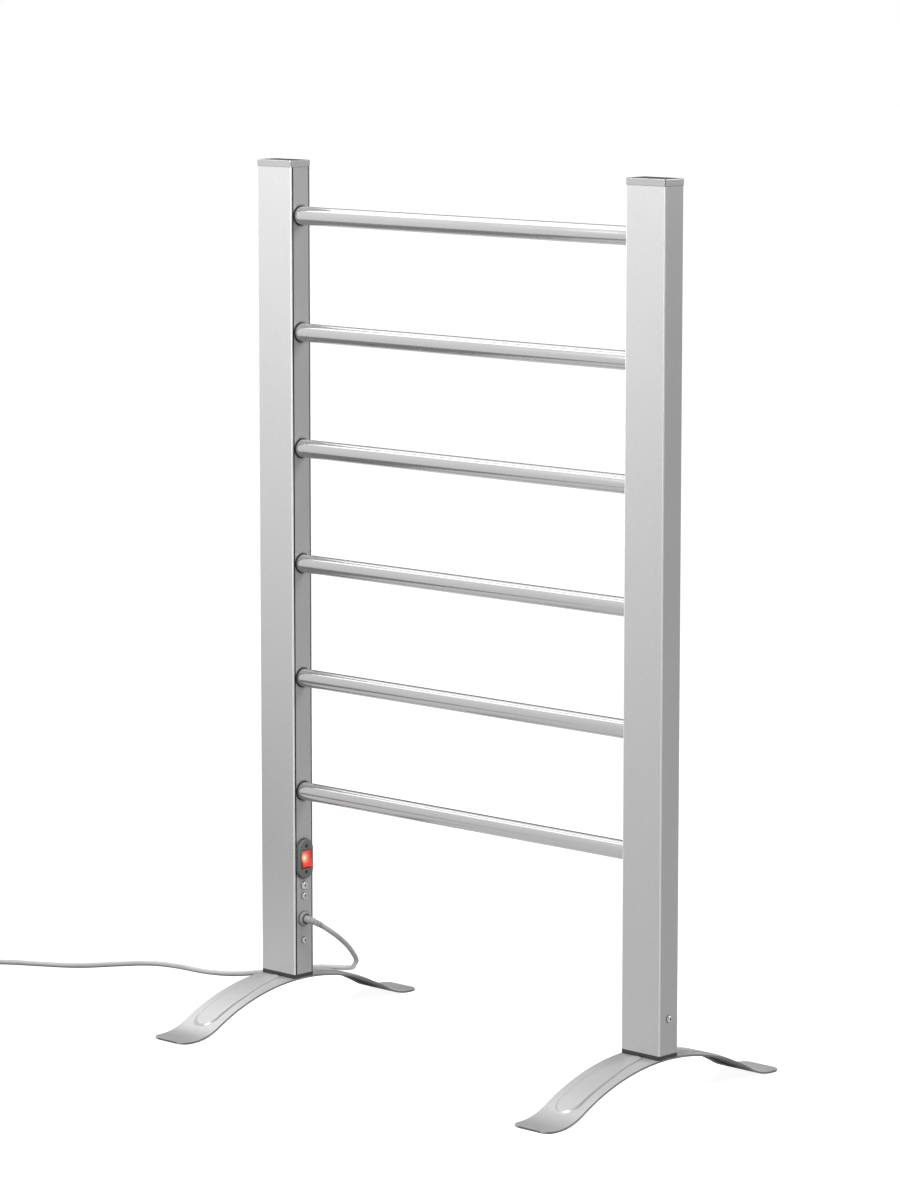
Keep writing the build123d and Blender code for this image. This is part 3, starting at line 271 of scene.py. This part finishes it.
def mesh_piece(name, mesh):
    """Object of a bmesh, smooth where its faces meet at a small angle."""
    data = bpy.data.meshes.new(name)
    mesh.to_mesh(data)
    mesh.free()
    data.shade_smooth()
    data.set_sharp_from_angle(angle=math.radians(SMOOTH_ANGLE))
    piece = bpy.data.objects.new(name, data)
    scene.collection.objects.link(piece)
    return piece


# Node trees; the owner is a material or the world

def link(owner, source, target):
    owner.node_tree.links.new(source, target)


def feed(owner, value, socket):
    """Give a socket a number, a plain colour or another node's output."""
    if isinstance(value, bpy.types.NodeSocket):
        link(owner, value, socket)
    elif isinstance(value, (int, float)):
        socket.default_value = value
    else:
        socket.default_value = (*value, 1)


def grey(level):
    return (level, level, level)


def new_material(name, colour, metallic, roughness, **sockets):
    """Principled material; further socket values by name."""
    material = bpy.data.materials.new(name)
    material.use_nodes = True
    shader = shader_of(material)
    shader.inputs["Base Color"].default_value = (*colour, 1)
    shader.inputs["Metallic"].default_value = metallic
    shader.inputs["Roughness"].default_value = roughness
    for socket, value in sockets.items():
        shader.inputs[socket.replace("_", " ")].default_value = value
    return material


def shader_of(material):
    return material.node_tree.nodes["Principled BSDF"]


def own_place(material):
    """Place of the shaded point in the object's own metres."""
    return material.node_tree.nodes.new("ShaderNodeTexCoord").outputs["Object"]


def along_axis(material, vector, axis):
    """The part of a linked vector along X, Y or Z."""
    parts = material.node_tree.nodes.new("ShaderNodeSeparateXYZ")
    link(material, vector, parts.inputs["Vector"])
    return parts.outputs[axis]


def noise(material, scale, stretch=EVEN, detail=3.0):
    """Noise in the object's own metres, drawn out along an axis whose stretch is below one."""
    nodes = material.node_tree.nodes
    mapping = nodes.new("ShaderNodeMapping")
    mapping.inputs["Scale"].default_value = stretch
    texture = nodes.new("ShaderNodeTexNoise")
    texture.inputs["Scale"].default_value = scale
    texture.inputs["Detail"].default_value = detail
    link(material, own_place(material), mapping.inputs["Vector"])
    link(material, mapping.outputs["Vector"], texture.inputs["Vector"])
    return texture.outputs["Fac"]


def spread(material, value, low, high, start=NOISE_LOW, end=NOISE_HIGH):
    """A value from low to high as the source goes from start to end."""
    node = material.node_tree.nodes.new("ShaderNodeMapRange")
    for socket, number in (("From Min", start), ("From Max", end), ("To Min", low), ("To Max", high)):
        node.inputs[socket].default_value = number
    link(material, value, node.inputs["Value"])
    return node.outputs["Result"]


def tint(material, share, first, second):
    """Colour between two colours by a share; either colour is plain or linked."""
    node = material.node_tree.nodes.new("ShaderNodeMix")
    node.data_type = "RGBA"
    feed(material, first, node.inputs["A"])
    feed(material, second, node.inputs["B"])
    link(material, share, node.inputs["Factor"])
    return node.outputs["Result"]


def maths(owner, operation, first, second):
    """Result of a maths node; the second operand is a number or linked."""
    node = owner.node_tree.nodes.new("ShaderNodeMath")
    node.operation = operation
    link(owner, first, node.inputs[0])
    feed(owner, second, node.inputs[1])
    return node.outputs["Value"]


# Masks, from zero to one

def beyond(material, value, limit):
    """One where the value is past the limit, and zero before it."""
    return spread(material, value, 0, 1, limit - MASK_SOFTNESS, limit + MASK_SOFTNESS)


def before(material, value, limit):
    """One where the value is before the limit, and zero past it."""
    return spread(material, value, 1, 0, limit - MASK_SOFTNESS, limit + MASK_SOFTNESS)


def distance_from_middle(material, axis):
    """Distance from the object's middle plane along X, Y or Z."""
    return maths(material, "ABSOLUTE", along_axis(material, own_place(material), axis), 0)


def openness(material, reach):
    """One on open faces, falling to zero in gaps and corners narrower than the reach."""
    gap = material.node_tree.nodes.new("ShaderNodeAmbientOcclusion")
    gap.samples = OPEN_SAMPLES
    gap.inputs["Distance"].default_value = reach
    return spread(material, gap.outputs["AO"], 0, 1, *OPEN_SHARES)


def lip_highlight_mask(material):
    """Painted highlight on the roundings of the post's open lips and of its outer corners."""
    across = beyond(material, distance_from_middle(material, "Y"), LIP_START)
    along = distance_from_middle(material, "X")
    lips = before(material, along, LIP_END)
    corners = beyond(material, along, CORNER_START)
    return maths(material, "MULTIPLY", across, maths(material, "MAXIMUM", lips, corners))


def plate_seam_shade_mask(material):
    """Painted shade on the plate's front edge, standing in for the shadow of the seam."""
    return before(material, along_axis(material, own_place(material), "Y"), -SEAM_SHADE_START)


def flank_shade_mask(material):
    """Painted shade on faces that lean towards +X: the edge of the foot's panel and the rim of its sheet.
    """
    normal = material.node_tree.nodes.new("ShaderNodeNewGeometry").outputs["Normal"]
    return spread(material, along_axis(material, normal, "X"), 0, 1, *FLANK_SHADE)


# Materials

def roughen(material, value, roughness, swing):
    """Roughness that goes up and down by the swing with a value."""
    rough = spread(material, value, roughness - swing, roughness + swing)
    link(material, rough, shader_of(material).inputs["Roughness"])


def colour_by(material, value, colour, tones, masked=None, reach=GAP_SHADE_REACH):
    """Base colour between two tones of a colour by a value, with painted shade in narrow gaps and corners.

    masked holds a mask's function and the grey level that it paints on the faces it finds: a painted
    highlight or painted shade.
    """
    low, high = [[part * tone for part in colour] for tone in tones]
    shown = tint(material, spread(material, value, 0, 1), low, high)
    if masked:
        mask, level = masked
        shown = tint(material, mask(material), shown, grey(level))
    gap = [part * GAP_SHADE for part in low]
    shown = tint(material, openness(material, reach), gap, shown)
    link(material, shown, shader_of(material).inputs["Base Color"])


def bump(material, height, depth, strength):
    """Bump of this depth in metres."""
    node = material.node_tree.nodes.new("ShaderNodeBump")
    node.inputs["Strength"].default_value = strength
    node.inputs["Distance"].default_value = depth
    link(material, height, node.inputs["Height"])
    link(material, node.outputs["Normal"], shader_of(material).inputs["Normal"])


def satin(name, level, metallic, roughness, stretch=EVEN, depth=METAL_DEPTH, hue=WHITE, masked=None,
          reach=GAP_SHADE_REACH):
    """Satin metal: fine grain drawn out along the piece, with soft changes of gloss and tone, and painted
    shade in narrow gaps and corners.
    """
    colour = [level * part for part in hue]
    material = new_material(name, colour, metallic, roughness)
    grain = noise(material, METAL_GRAIN, stretch, detail=4)
    cloud = noise(material, METAL_CLOUD, detail=2)
    roughen(material, cloud, roughness, METAL_GLOSS_SWING)
    colour_by(material, grain, colour, METAL_TONES, masked, reach)
    bump(material, grain, depth, METAL_BUMP)
    return material


def moulded(name, colour, roughness, grain=MOULD_GRAIN, depth=MOULD_DEPTH):
    """Plastic or rubber with a fine moulded grain, faint changes of tone and painted shade in narrow gaps
    and corners.
    """
    material = new_material(name, colour, 0, roughness)
    cloud = noise(material, MOULD_CLOUD)
    roughen(material, cloud, roughness, MOULD_GLOSS_SWING)
    colour_by(material, cloud, colour, MOULD_TONES)
    bump(material, noise(material, grain), depth, MOULD_BUMP)
    return material


def rocker_red():
    """Red translucent rocker, lit from behind by its lamp, with painted shade in the gaps round it that
    also dims its glow.
    """
    material = new_material("rocker_red", ROCKER_RED, 0, 0.28, Coat_Weight=0.3, Coat_Roughness=0.15)
    distance = material.node_tree.nodes.new("ShaderNodeVectorMath")
    distance.operation = "DISTANCE"
    distance.inputs[1].default_value = ROCKER_GLOW
    link(material, own_place(material), distance.inputs[0])
    near = spread(material, distance.outputs["Value"], 1, 0, 0, ROCKER_GLOW_REACH)
    glow = maths(material, "POWER", near, 2)
    open_share = openness(material, ROCKER_SHADE_REACH)
    strength = spread(material, glow, *GLOW_STRENGTHS, 0, 1)
    strength = maths(material, "MULTIPLY", strength, open_share)
    shader = shader_of(material)
    link(material, tint(material, glow, GLOW_RIM, GLOW_HEART), shader.inputs["Emission Color"])
    link(material, strength, shader.inputs["Emission Strength"])
    link(material, tint(material, open_share, ROCKER_GAP_SHADE, ROCKER_RED), shader.inputs["Base Color"])
    bump(material, noise(material, ROCKER_GRAIN), 0.00002, 0.4)
    return material


def foot_underside_shade():
    """Underside of the feet, painted dark as shade: pale under the post and darkest towards the toes."""
    pale, dark = grey(UNDER_PALE_GREY), grey(UNDER_DARK_GREY)
    material = new_material("foot_underside_shade", dark, 0, 0.6, Specular_IOR_Level=0.2)
    share = spread(material, distance_from_middle(material, "Y"), 0, 1, UNDER_PALE, UNDER_DARK)
    link(material, tint(material, share, pale, dark), shader_of(material).inputs["Base Color"])
    bump(material, noise(material, MOULD_GRAIN), MOULD_DEPTH, MOULD_BUMP)
    return material


def make_materials():
    """One material for each of the record's slots."""
    return {
        # The posts' lips and outer corners get a painted highlight.
        "post_satin": satin("post_satin", 0.60, 0.25, 0.38, ALONG_Z, masked=(lip_highlight_mask, 0.98)),
        # The plates' front edges get painted shade for the seam's shadow.
        "plate_satin": satin("plate_satin", 0.58, 0.25, 0.40, ALONG_Z, masked=(plate_seam_shade_mask, 0.02),
                             reach=PLATE_SHADE_REACH),
        "bar_satin": satin("bar_satin", 0.52, 0.66, 0.16, ALONG_X, depth=0.000002),
        # The feet's panel edges and rims that lean towards +X get painted shade.
        "foot_satin": satin("foot_satin", 0.60, 0.2, 0.34, ALONG_Y, masked=(flank_shade_mask, 0.26)),
        "cap_metal": satin("cap_metal", 0.50, 0.6, 0.16, depth=0.000004),
        "base_rubber": moulded("base_rubber", grey(0.05), 0.6),
        "grommet_plastic": moulded("grommet_plastic", grey(0.03), 0.55),
        "screw_steel": satin("screw_steel", 0.60, 0.8, 0.22),
        "block_metal": satin("block_metal", 0.5, 0.9, 0.5, depth=0.00005),
        "clip_steel": satin("clip_steel", 0.55, 1.0, 0.3),
        "heater_sheath": moulded("heater_sheath", (0.55, 0.52, 0.46), 0.55),
        "end_plug_silicone": moulded("end_plug_silicone", (0.62, 0.60, 0.55), 0.65),
        "wire_sheath": moulded("wire_sheath", (0.60, 0.58, 0.52), 0.5),
        "cutout_metal": satin("cutout_metal", 0.6, 0.9, 0.35),
        "bezel_plastic": moulded("bezel_plastic", (0.235, 0.245, 0.228), 0.42),
        "rocker_red": rocker_red(),
        "plunger_metal": satin("plunger_metal", 0.7, 1.0, 0.25),
        "contact_copper": satin("contact_copper", 0.5, 1.0, 0.3, hue=(1.5, 0.75, 0.45)),
        "switch_plastic": moulded("switch_plastic", grey(0.03), 0.45),
        "lamp_glass": moulded("lamp_glass", (0.8, 0.45, 0.25), 0.15),
        "gland_plastic": moulded("gland_plastic", grey(0.52), 0.4),
        "relief_rubber": moulded("relief_rubber", grey(0.50), 0.55),
        "cord_sheath": moulded("cord_sheath", (0.72, 0.72, 0.70), 0.42, grain=1600, depth=0.00002),
        "clamp_plastic": moulded("clamp_plastic", (0.7, 0.7, 0.66), 0.5),
        "terminal_plastic": moulded("terminal_plastic", (0.72, 0.70, 0.62), 0.5),
        "lead_insulation": moulded("lead_insulation", (0.10, 0.22, 0.45), 0.45),
        "plug_rubber": moulded("plug_rubber", (0.36, 0.36, 0.35), 0.5),
        "plug_brass": satin("plug_brass", 0.7, 1.0, 0.25, hue=(1.15, 0.95, 0.55)),
    }


def paint_nodes(materials):
    """Every carried-over node gets its slot's material, and the bezel's screws a darker one: painted shade
    for their small cross recesses.
    """
    for entry in frame["record"]["subparts"]:
        piece = cad_nodes[entry["node"]]
        piece.data.materials.clear()
        piece.data.materials.append(materials[entry["material_slot"]])
    # Painted shade: the bezel's screws are dark all over for the shade in their cross recesses.
    cad_nodes["bezel_screws"].data.materials[0] = satin("shaded_dark_screw", 0.08, 0.8, 0.3)


# Bars

def bar_mesh(centre):
    """Round tube along X with fine, even sides, open at both ends inside the posts."""
    half = INNER_GAP / 2 + BAR_TAIL
    mesh = bmesh.new()
    skins = []
    for radius in (BAR_RADIUS, BAR_RADIUS - BAR_WALL):
        rings = []
        for step in range(BAR_STATIONS + 1):
            place = centre + X_AXIS * half * (2 * step / BAR_STATIONS - 1)
            rings.append(ring(mesh, place, Y_AXIS, Z_AXIS, radius, BAR_SIDES))
        join_row(mesh, rings)
        skins.append(rings)
    outer, inner = skins
    for end in (0, -1):
        join_rings(mesh, outer[end], inner[end])
    bmesh.ops.recalc_face_normals(mesh, faces=mesh.faces)
    return mesh


def make_bars(materials):
    for k in range(BAR_COUNT):
        name = f"bar_{k + 1}"
        piece = mesh_piece(name + "_tube", bar_mesh(Z_AXIS * (TOP_BAR - k * BAR_PITCH)))
        piece.data.materials.append(materials["bar_satin"])
        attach(piece, "rack")
        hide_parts(name)


# Feet

def arch_point(along):
    """Top face of the foot at this distance from its middle: height and unit normal."""
    swing = 2 * math.atan2(ARCH_RISE, ARCH_SPAN)
    side = math.copysign(1, along)
    y = abs(along)
    if y < ARCH_RADIUS * math.sin(swing):
        angle = math.asin(y / ARCH_RADIUS)
        z = FOOT_APEX - ARCH_RADIUS + ARCH_RADIUS * math.cos(angle)
    elif y < ARCH_SPAN:
        angle = math.asin((ARCH_SPAN - y) / TOE_RADIUS)
        z = FOOT_SHEET + TOE_RADIUS - TOE_RADIUS * math.cos(angle)
    else:
        angle = 0
        z = FOOT_SHEET
    return z, Vector((0, side * math.sin(angle), math.cos(angle)))


def panel_rise(x, along):
    """Height of the pressed panel above the foot's top face."""
    y = abs(along)
    flank = PANEL_FLANK
    nose, end = PANEL_START + PANEL_NOSE, PANEL_END - PANEL_HALF
    if y < nose:
        depth = PANEL_NOSE - math.hypot(x, nose - y)
    elif y > end:
        reach = math.hypot(x, y - end)
        depth = PANEL_HALF - reach
        flank += (PANEL_FRONT_FLANK - PANEL_FLANK) * (y - end) / reach
    else:
        share = min((y - nose) / (PANEL_SHOULDER - nose), 1)
        depth = PANEL_NOSE + (PANEL_HALF - PANEL_NOSE) * share - abs(x)
    return PANEL_RISE * eased(depth / flank)


def foot_rows():
    """Distances from the foot's middle and half widths of its cross rows."""
    length, half = FOOT_LENGTH / 2, POST_WIDTH / 2
    straight = length - TOE_CORNER
    count = round(straight / FOOT_MESH)
    rows = [(straight * k / count, half) for k in range(count + 1)]
    for k in range(1, TOE_STEPS + 1):
        angle = math.radians(90 * k / TOE_STEPS)
        rows.append((straight + TOE_CORNER * math.sin(angle), half - TOE_CORNER * (1 - math.cos(angle))))
    return [(-y, w) for y, w in rows[:0:-1]] + rows


def foot_layer(mesh, centre, drop):
    """Rows of vertices at this drop below the foot's top face."""
    columns = round(POST_WIDTH / FOOT_MESH)
    layer = []
    for along, half in foot_rows():
        z, normal = arch_point(along)
        row = []
        for k in range(columns + 1):
            x = half * (2 * k / columns - 1)
            place = Vector((centre + x, along, z)) + normal * (panel_rise(x, along) - drop)
            row.append(mesh.verts.new(place))
        layer.append(row)
    return layer


def foot_faces(mesh, top, under):
    """Faces of the foot's top and underside, its long rims and its toes' rims."""
    last_row, last_column = len(top) - 1, len(top[0]) - 1
    for i in range(last_row):
        for k in range(last_column):
            mesh.faces.new((top[i][k], top[i][k + 1], top[i + 1][k + 1], top[i + 1][k]))
            face = mesh.faces.new((under[i][k], under[i + 1][k], under[i + 1][k + 1], under[i][k + 1]))
            face.material_index = UNDER_INDEX
    for i in range(last_row):
        for k in (0, last_column):
            mesh.faces.new((top[i][k], top[i + 1][k], under[i + 1][k], under[i][k]))
    for k in range(last_column):
        for i in (0, last_row):
            face = mesh.faces.new((top[i][k], top[i][k + 1], under[i][k + 1], under[i][k]))
            face.material_index = TOE_RIM_INDEX
    bmesh.ops.recalc_face_normals(mesh, faces=mesh.faces)


def foot_piece(name, centre, materials):
    """Pressed arch with smooth raised panels, rounded toes and slightly rounded edges."""
    mesh = bmesh.new()
    foot_faces(mesh, foot_layer(mesh, centre, 0), foot_layer(mesh, centre, FOOT_SHEET))
    piece = mesh_piece(name, mesh)
    bevel = piece.modifiers.new("edge", "BEVEL")
    bevel.width = FOOT_EDGE
    bevel.segments = 2
    bevel.limit_method = "ANGLE"
    bevel.angle_limit = math.radians(FOOT_EDGE_ANGLE)
    for material in materials:
        piece.data.materials.append(material)
    return piece


def make_feet(materials):
    # The undersides are painted dark as shade, darkest towards the toes.
    under = foot_underside_shade()
    # The toes' rims get a darker grey: painted shade on the same sheet as the top.
    toe_rim_shade = moulded("foot_toe_rim", grey(0.2), 0.5)
    for side, name in ((-1, "left_foot"), (1, "right_foot")):
        centre = side * (INNER_GAP + POST_WIDTH) / 2
        piece = foot_piece(name + "_pressing", centre, (materials["foot_satin"], under, toe_rim_shade))
        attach(piece, "rack")
        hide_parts(name)


# Strain relief

def relief_section(share):
    """Centre of the relief at this share of its length, and two directions across it."""
    leave = Vector(CORD_LEAVE).normalized()
    inward = (leave - X_AXIS * leave.x).normalized()
    whole_turn = X_AXIS.angle(leave)
    bend = RELIEF_LENGTH / whole_turn
    turn = share * whole_turn
    centre = Vector(CORD_EXIT) + X_AXIS * bend * math.sin(turn) + inward * bend * (1 - math.cos(turn))
    return centre, inward * math.cos(turn) - X_AXIS * math.sin(turn), X_AXIS.cross(inward)


def make_relief(materials):
    """Tapered relief with moulded ribs, bent where the cord turns away."""
    mesh = bmesh.new()
    rings = []
    for k in range(RELIEF_RINGS + 1):
        share = k / RELIEF_RINGS
        radius = RELIEF_ROOT + (RELIEF_TIP - RELIEF_ROOT) * share
        if k % RELIEF_RIB_RINGS >= RELIEF_RIB_RINGS / 2:
            radius -= RELIEF_GROOVE
        rings.append(ring(mesh, *relief_section(share), radius, RELIEF_SIDES))
    join_row(mesh, rings)
    mesh.faces.new(rings[0][::-1])
    mesh.faces.new(rings[-1])
    bmesh.ops.recalc_face_normals(mesh, faces=mesh.faces)
    piece = mesh_piece("strain_relief", mesh)
    piece.data.materials.append(materials["relief_rubber"])
    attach(piece, "rack")
    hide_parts("cord_relief")
    return piece


# Cord

def relief_tip():
    return relief_section(1)[0]


def route_points():
    """The cord's chosen points, from the relief's tip to the coil."""
    tip = relief_tip()
    first_run = Vector(CORD_LEAVE).normalized() * CORD_FIRST_RUN
    return [tip, tip + first_run] + [Vector(point) for point in CORD_ROUTE]


def coil_points():
    """The coil's turns in two layers, and the short straight end before the plug."""
    last, before_last = Vector(CORD_ROUTE[-1]), Vector(CORD_ROUTE[-2])
    along = (last - before_last).normalized()
    outer = COIL_RADIUS + COIL_PITCH * COIL_TURNS / 4
    centre = last + along * CORD_DIAMETER + Vector((-along.y, along.x, 0)) * outer
    start = math.degrees(math.atan2(along.y, along.x)) - 90
    total = 360 * COIL_TURNS + (COIL_END - start) % 360
    middle, blend = total / 2, COIL_REVERSE / 2
    low = CORD_DIAMETER / 2
    points = []
    count = round(total / COIL_STEP)
    for k in range(count + 1):
        turned = total * k / count
        away = abs(turned - middle)
        if away < blend:
            away = (blend + away * away / blend) / 2
        radius = outer - COIL_PITCH * (middle - away) / 360
        climb = eased((turned - middle + blend) / COIL_REVERSE)
        rise = eased((turned - total + PLUG_CLIMB) / PLUG_CLIMB)
        z = low + COIL_LAYER * climb + (PLUG_AXIS - low - COIL_LAYER) * rise
        angle = math.radians(start + turned)
        points.append(Vector((centre.x + radius * math.cos(angle), centre.y + radius * math.sin(angle), z)))
    end = math.radians(start + total + 90)
    points.append(points[-1] + Vector((math.cos(end), math.sin(end), 0)) * PLUG_LEAD)
    return points


def smooth_cord(name, points, radius):
    """Round cord on a smooth open spline."""
    curve = bpy.data.curves.new(name, "CURVE")
    curve.dimensions = "3D"
    curve.bevel_depth = 1
    curve.bevel_resolution = 6
    curve.resolution_u = 12
    curve.use_fill_caps = True
    spline = curve.splines.new("NURBS")
    spline.points.add(len(points) - 1)
    for point, place in zip(spline.points, points):
        point.co = (*place, 1)
        point.radius = radius
    spline.order_u = 3
    spline.use_endpoint_u = True
    piece = bpy.data.objects.new(name, curve)
    scene.collection.objects.link(piece)
    return piece


def make_cord(materials):
    cord = smooth_cord("mains_cord", route_points() + coil_points(), CORD_DIAMETER / 2)
    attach(cord, "rack")
    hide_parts("power_cord", "cord_coil")
    cord.data.materials.append(materials["cord_sheath"])


# Studio

def plain_shader(owner, kind, **sockets):
    """Output of a new shader node with these socket values."""
    node = owner.node_tree.nodes.new(kind)
    for socket, value in sockets.items():
        feed(owner, value, node.inputs[socket])
    return node.outputs[0]


def rays_mix(owner, names, others, chosen):
    """Shader that shows the chosen one to these kinds of ray and the others' to the rest."""
    path = owner.node_tree.nodes.new("ShaderNodeLightPath")
    total = path.outputs[names[0]]
    for name in names[1:]:
        total = maths(owner, "MAXIMUM", total, path.outputs[name])
    mix = owner.node_tree.nodes.new("ShaderNodeMixShader")
    for socket, source in zip(mix.inputs, (total, others, chosen)):
        link(owner, source, socket)
    return mix.outputs["Shader"]


def make_world():
    """Soft grey light, and plain white where the camera or a reflection looks at it."""
    world = bpy.data.worlds.new("studio")
    scene.world = world
    world.use_nodes = True
    light = plain_shader(world, "ShaderNodeBackground", Color=WHITE, Strength=AMBIENT)
    white = plain_shader(world, "ShaderNodeBackground", Color=WHITE)
    shown = rays_mix(world, SEEN_RAYS, light, white)
    link(world, shown, world.node_tree.nodes["World Output"].inputs["Surface"])


def make_floor():
    """Plain floor: grey for the light that it passes on, white where it is seen."""
    mesh = bmesh.new()
    bmesh.ops.create_grid(mesh, x_segments=FLOOR_SQUARES, y_segments=FLOOR_SQUARES, size=FLOOR_HALF)
    piece = mesh_piece("floor", mesh)
    material = bpy.data.materials.new("studio_floor")
    material.use_nodes = True
    bounce = plain_shader(material, "ShaderNodeBsdfDiffuse", Color=grey(FLOOR_BOUNCE))
    seen = plain_shader(material, "ShaderNodeBsdfDiffuse", Color=grey(FLOOR_SEEN))
    glow = plain_shader(material, "ShaderNodeEmission", Strength=FLOOR_GLOW)
    white = plain_shader(material, "ShaderNodeEmission")
    both = material.node_tree.nodes.new("ShaderNodeAddShader")
    link(material, seen, both.inputs[0])
    link(material, glow, both.inputs[1])
    direct = rays_mix(material, ("Is Camera Ray",), bounce, both.outputs["Shader"])
    shown = rays_mix(material, MIRRORED_RAYS, direct, white)
    link(material, shown, material.node_tree.nodes["Material Output"].inputs["Surface"])
    piece.data.materials.append(material)


def facing(place, aim):
    """Turn of an object at a place that looks at the aim along its -Z axis."""
    return (Vector(aim) - Vector(place)).to_track_quat("-Z", "Y").to_euler()


def area_light(name, place, aim, size, power, spread_angle):
    """Soft rectangular light facing a point."""
    data = bpy.data.lights.new(name, "AREA")
    data.shape = "RECTANGLE"
    data.size, data.size_y = size
    data.energy = power
    data.spread = math.radians(spread_angle)
    lamp = bpy.data.objects.new(name, data)
    lamp.location = place
    lamp.rotation_euler = facing(place, aim)
    scene.collection.objects.link(lamp)


def card(name, place, aim, size, level):
    """Grey card that only the metal's reflections show."""
    mesh = bmesh.new()
    bmesh.ops.create_grid(mesh, x_segments=2, y_segments=2, size=0.5)
    piece = mesh_piece(name, mesh)
    piece.scale = (*size, 1)
    piece.location = place
    piece.rotation_euler = facing(place, aim)
    piece.data.materials.append(new_material(name, grey(level), 0, CARD_ROUGHNESS))
    piece.visible_camera = False
    piece.visible_diffuse = False
    piece.visible_shadow = False


def make_lights():
    for lamp in LAMPS:
        area_light(*lamp)
    for sizes in CARDS:
        card(*sizes)


make_camera()
materials = make_materials()
paint_nodes(materials)
make_bars(materials)
make_feet(materials)
relief = make_relief(materials)
make_cord(materials)
make_world()
make_floor()
make_lights()

bpy.context.view_layer.update()
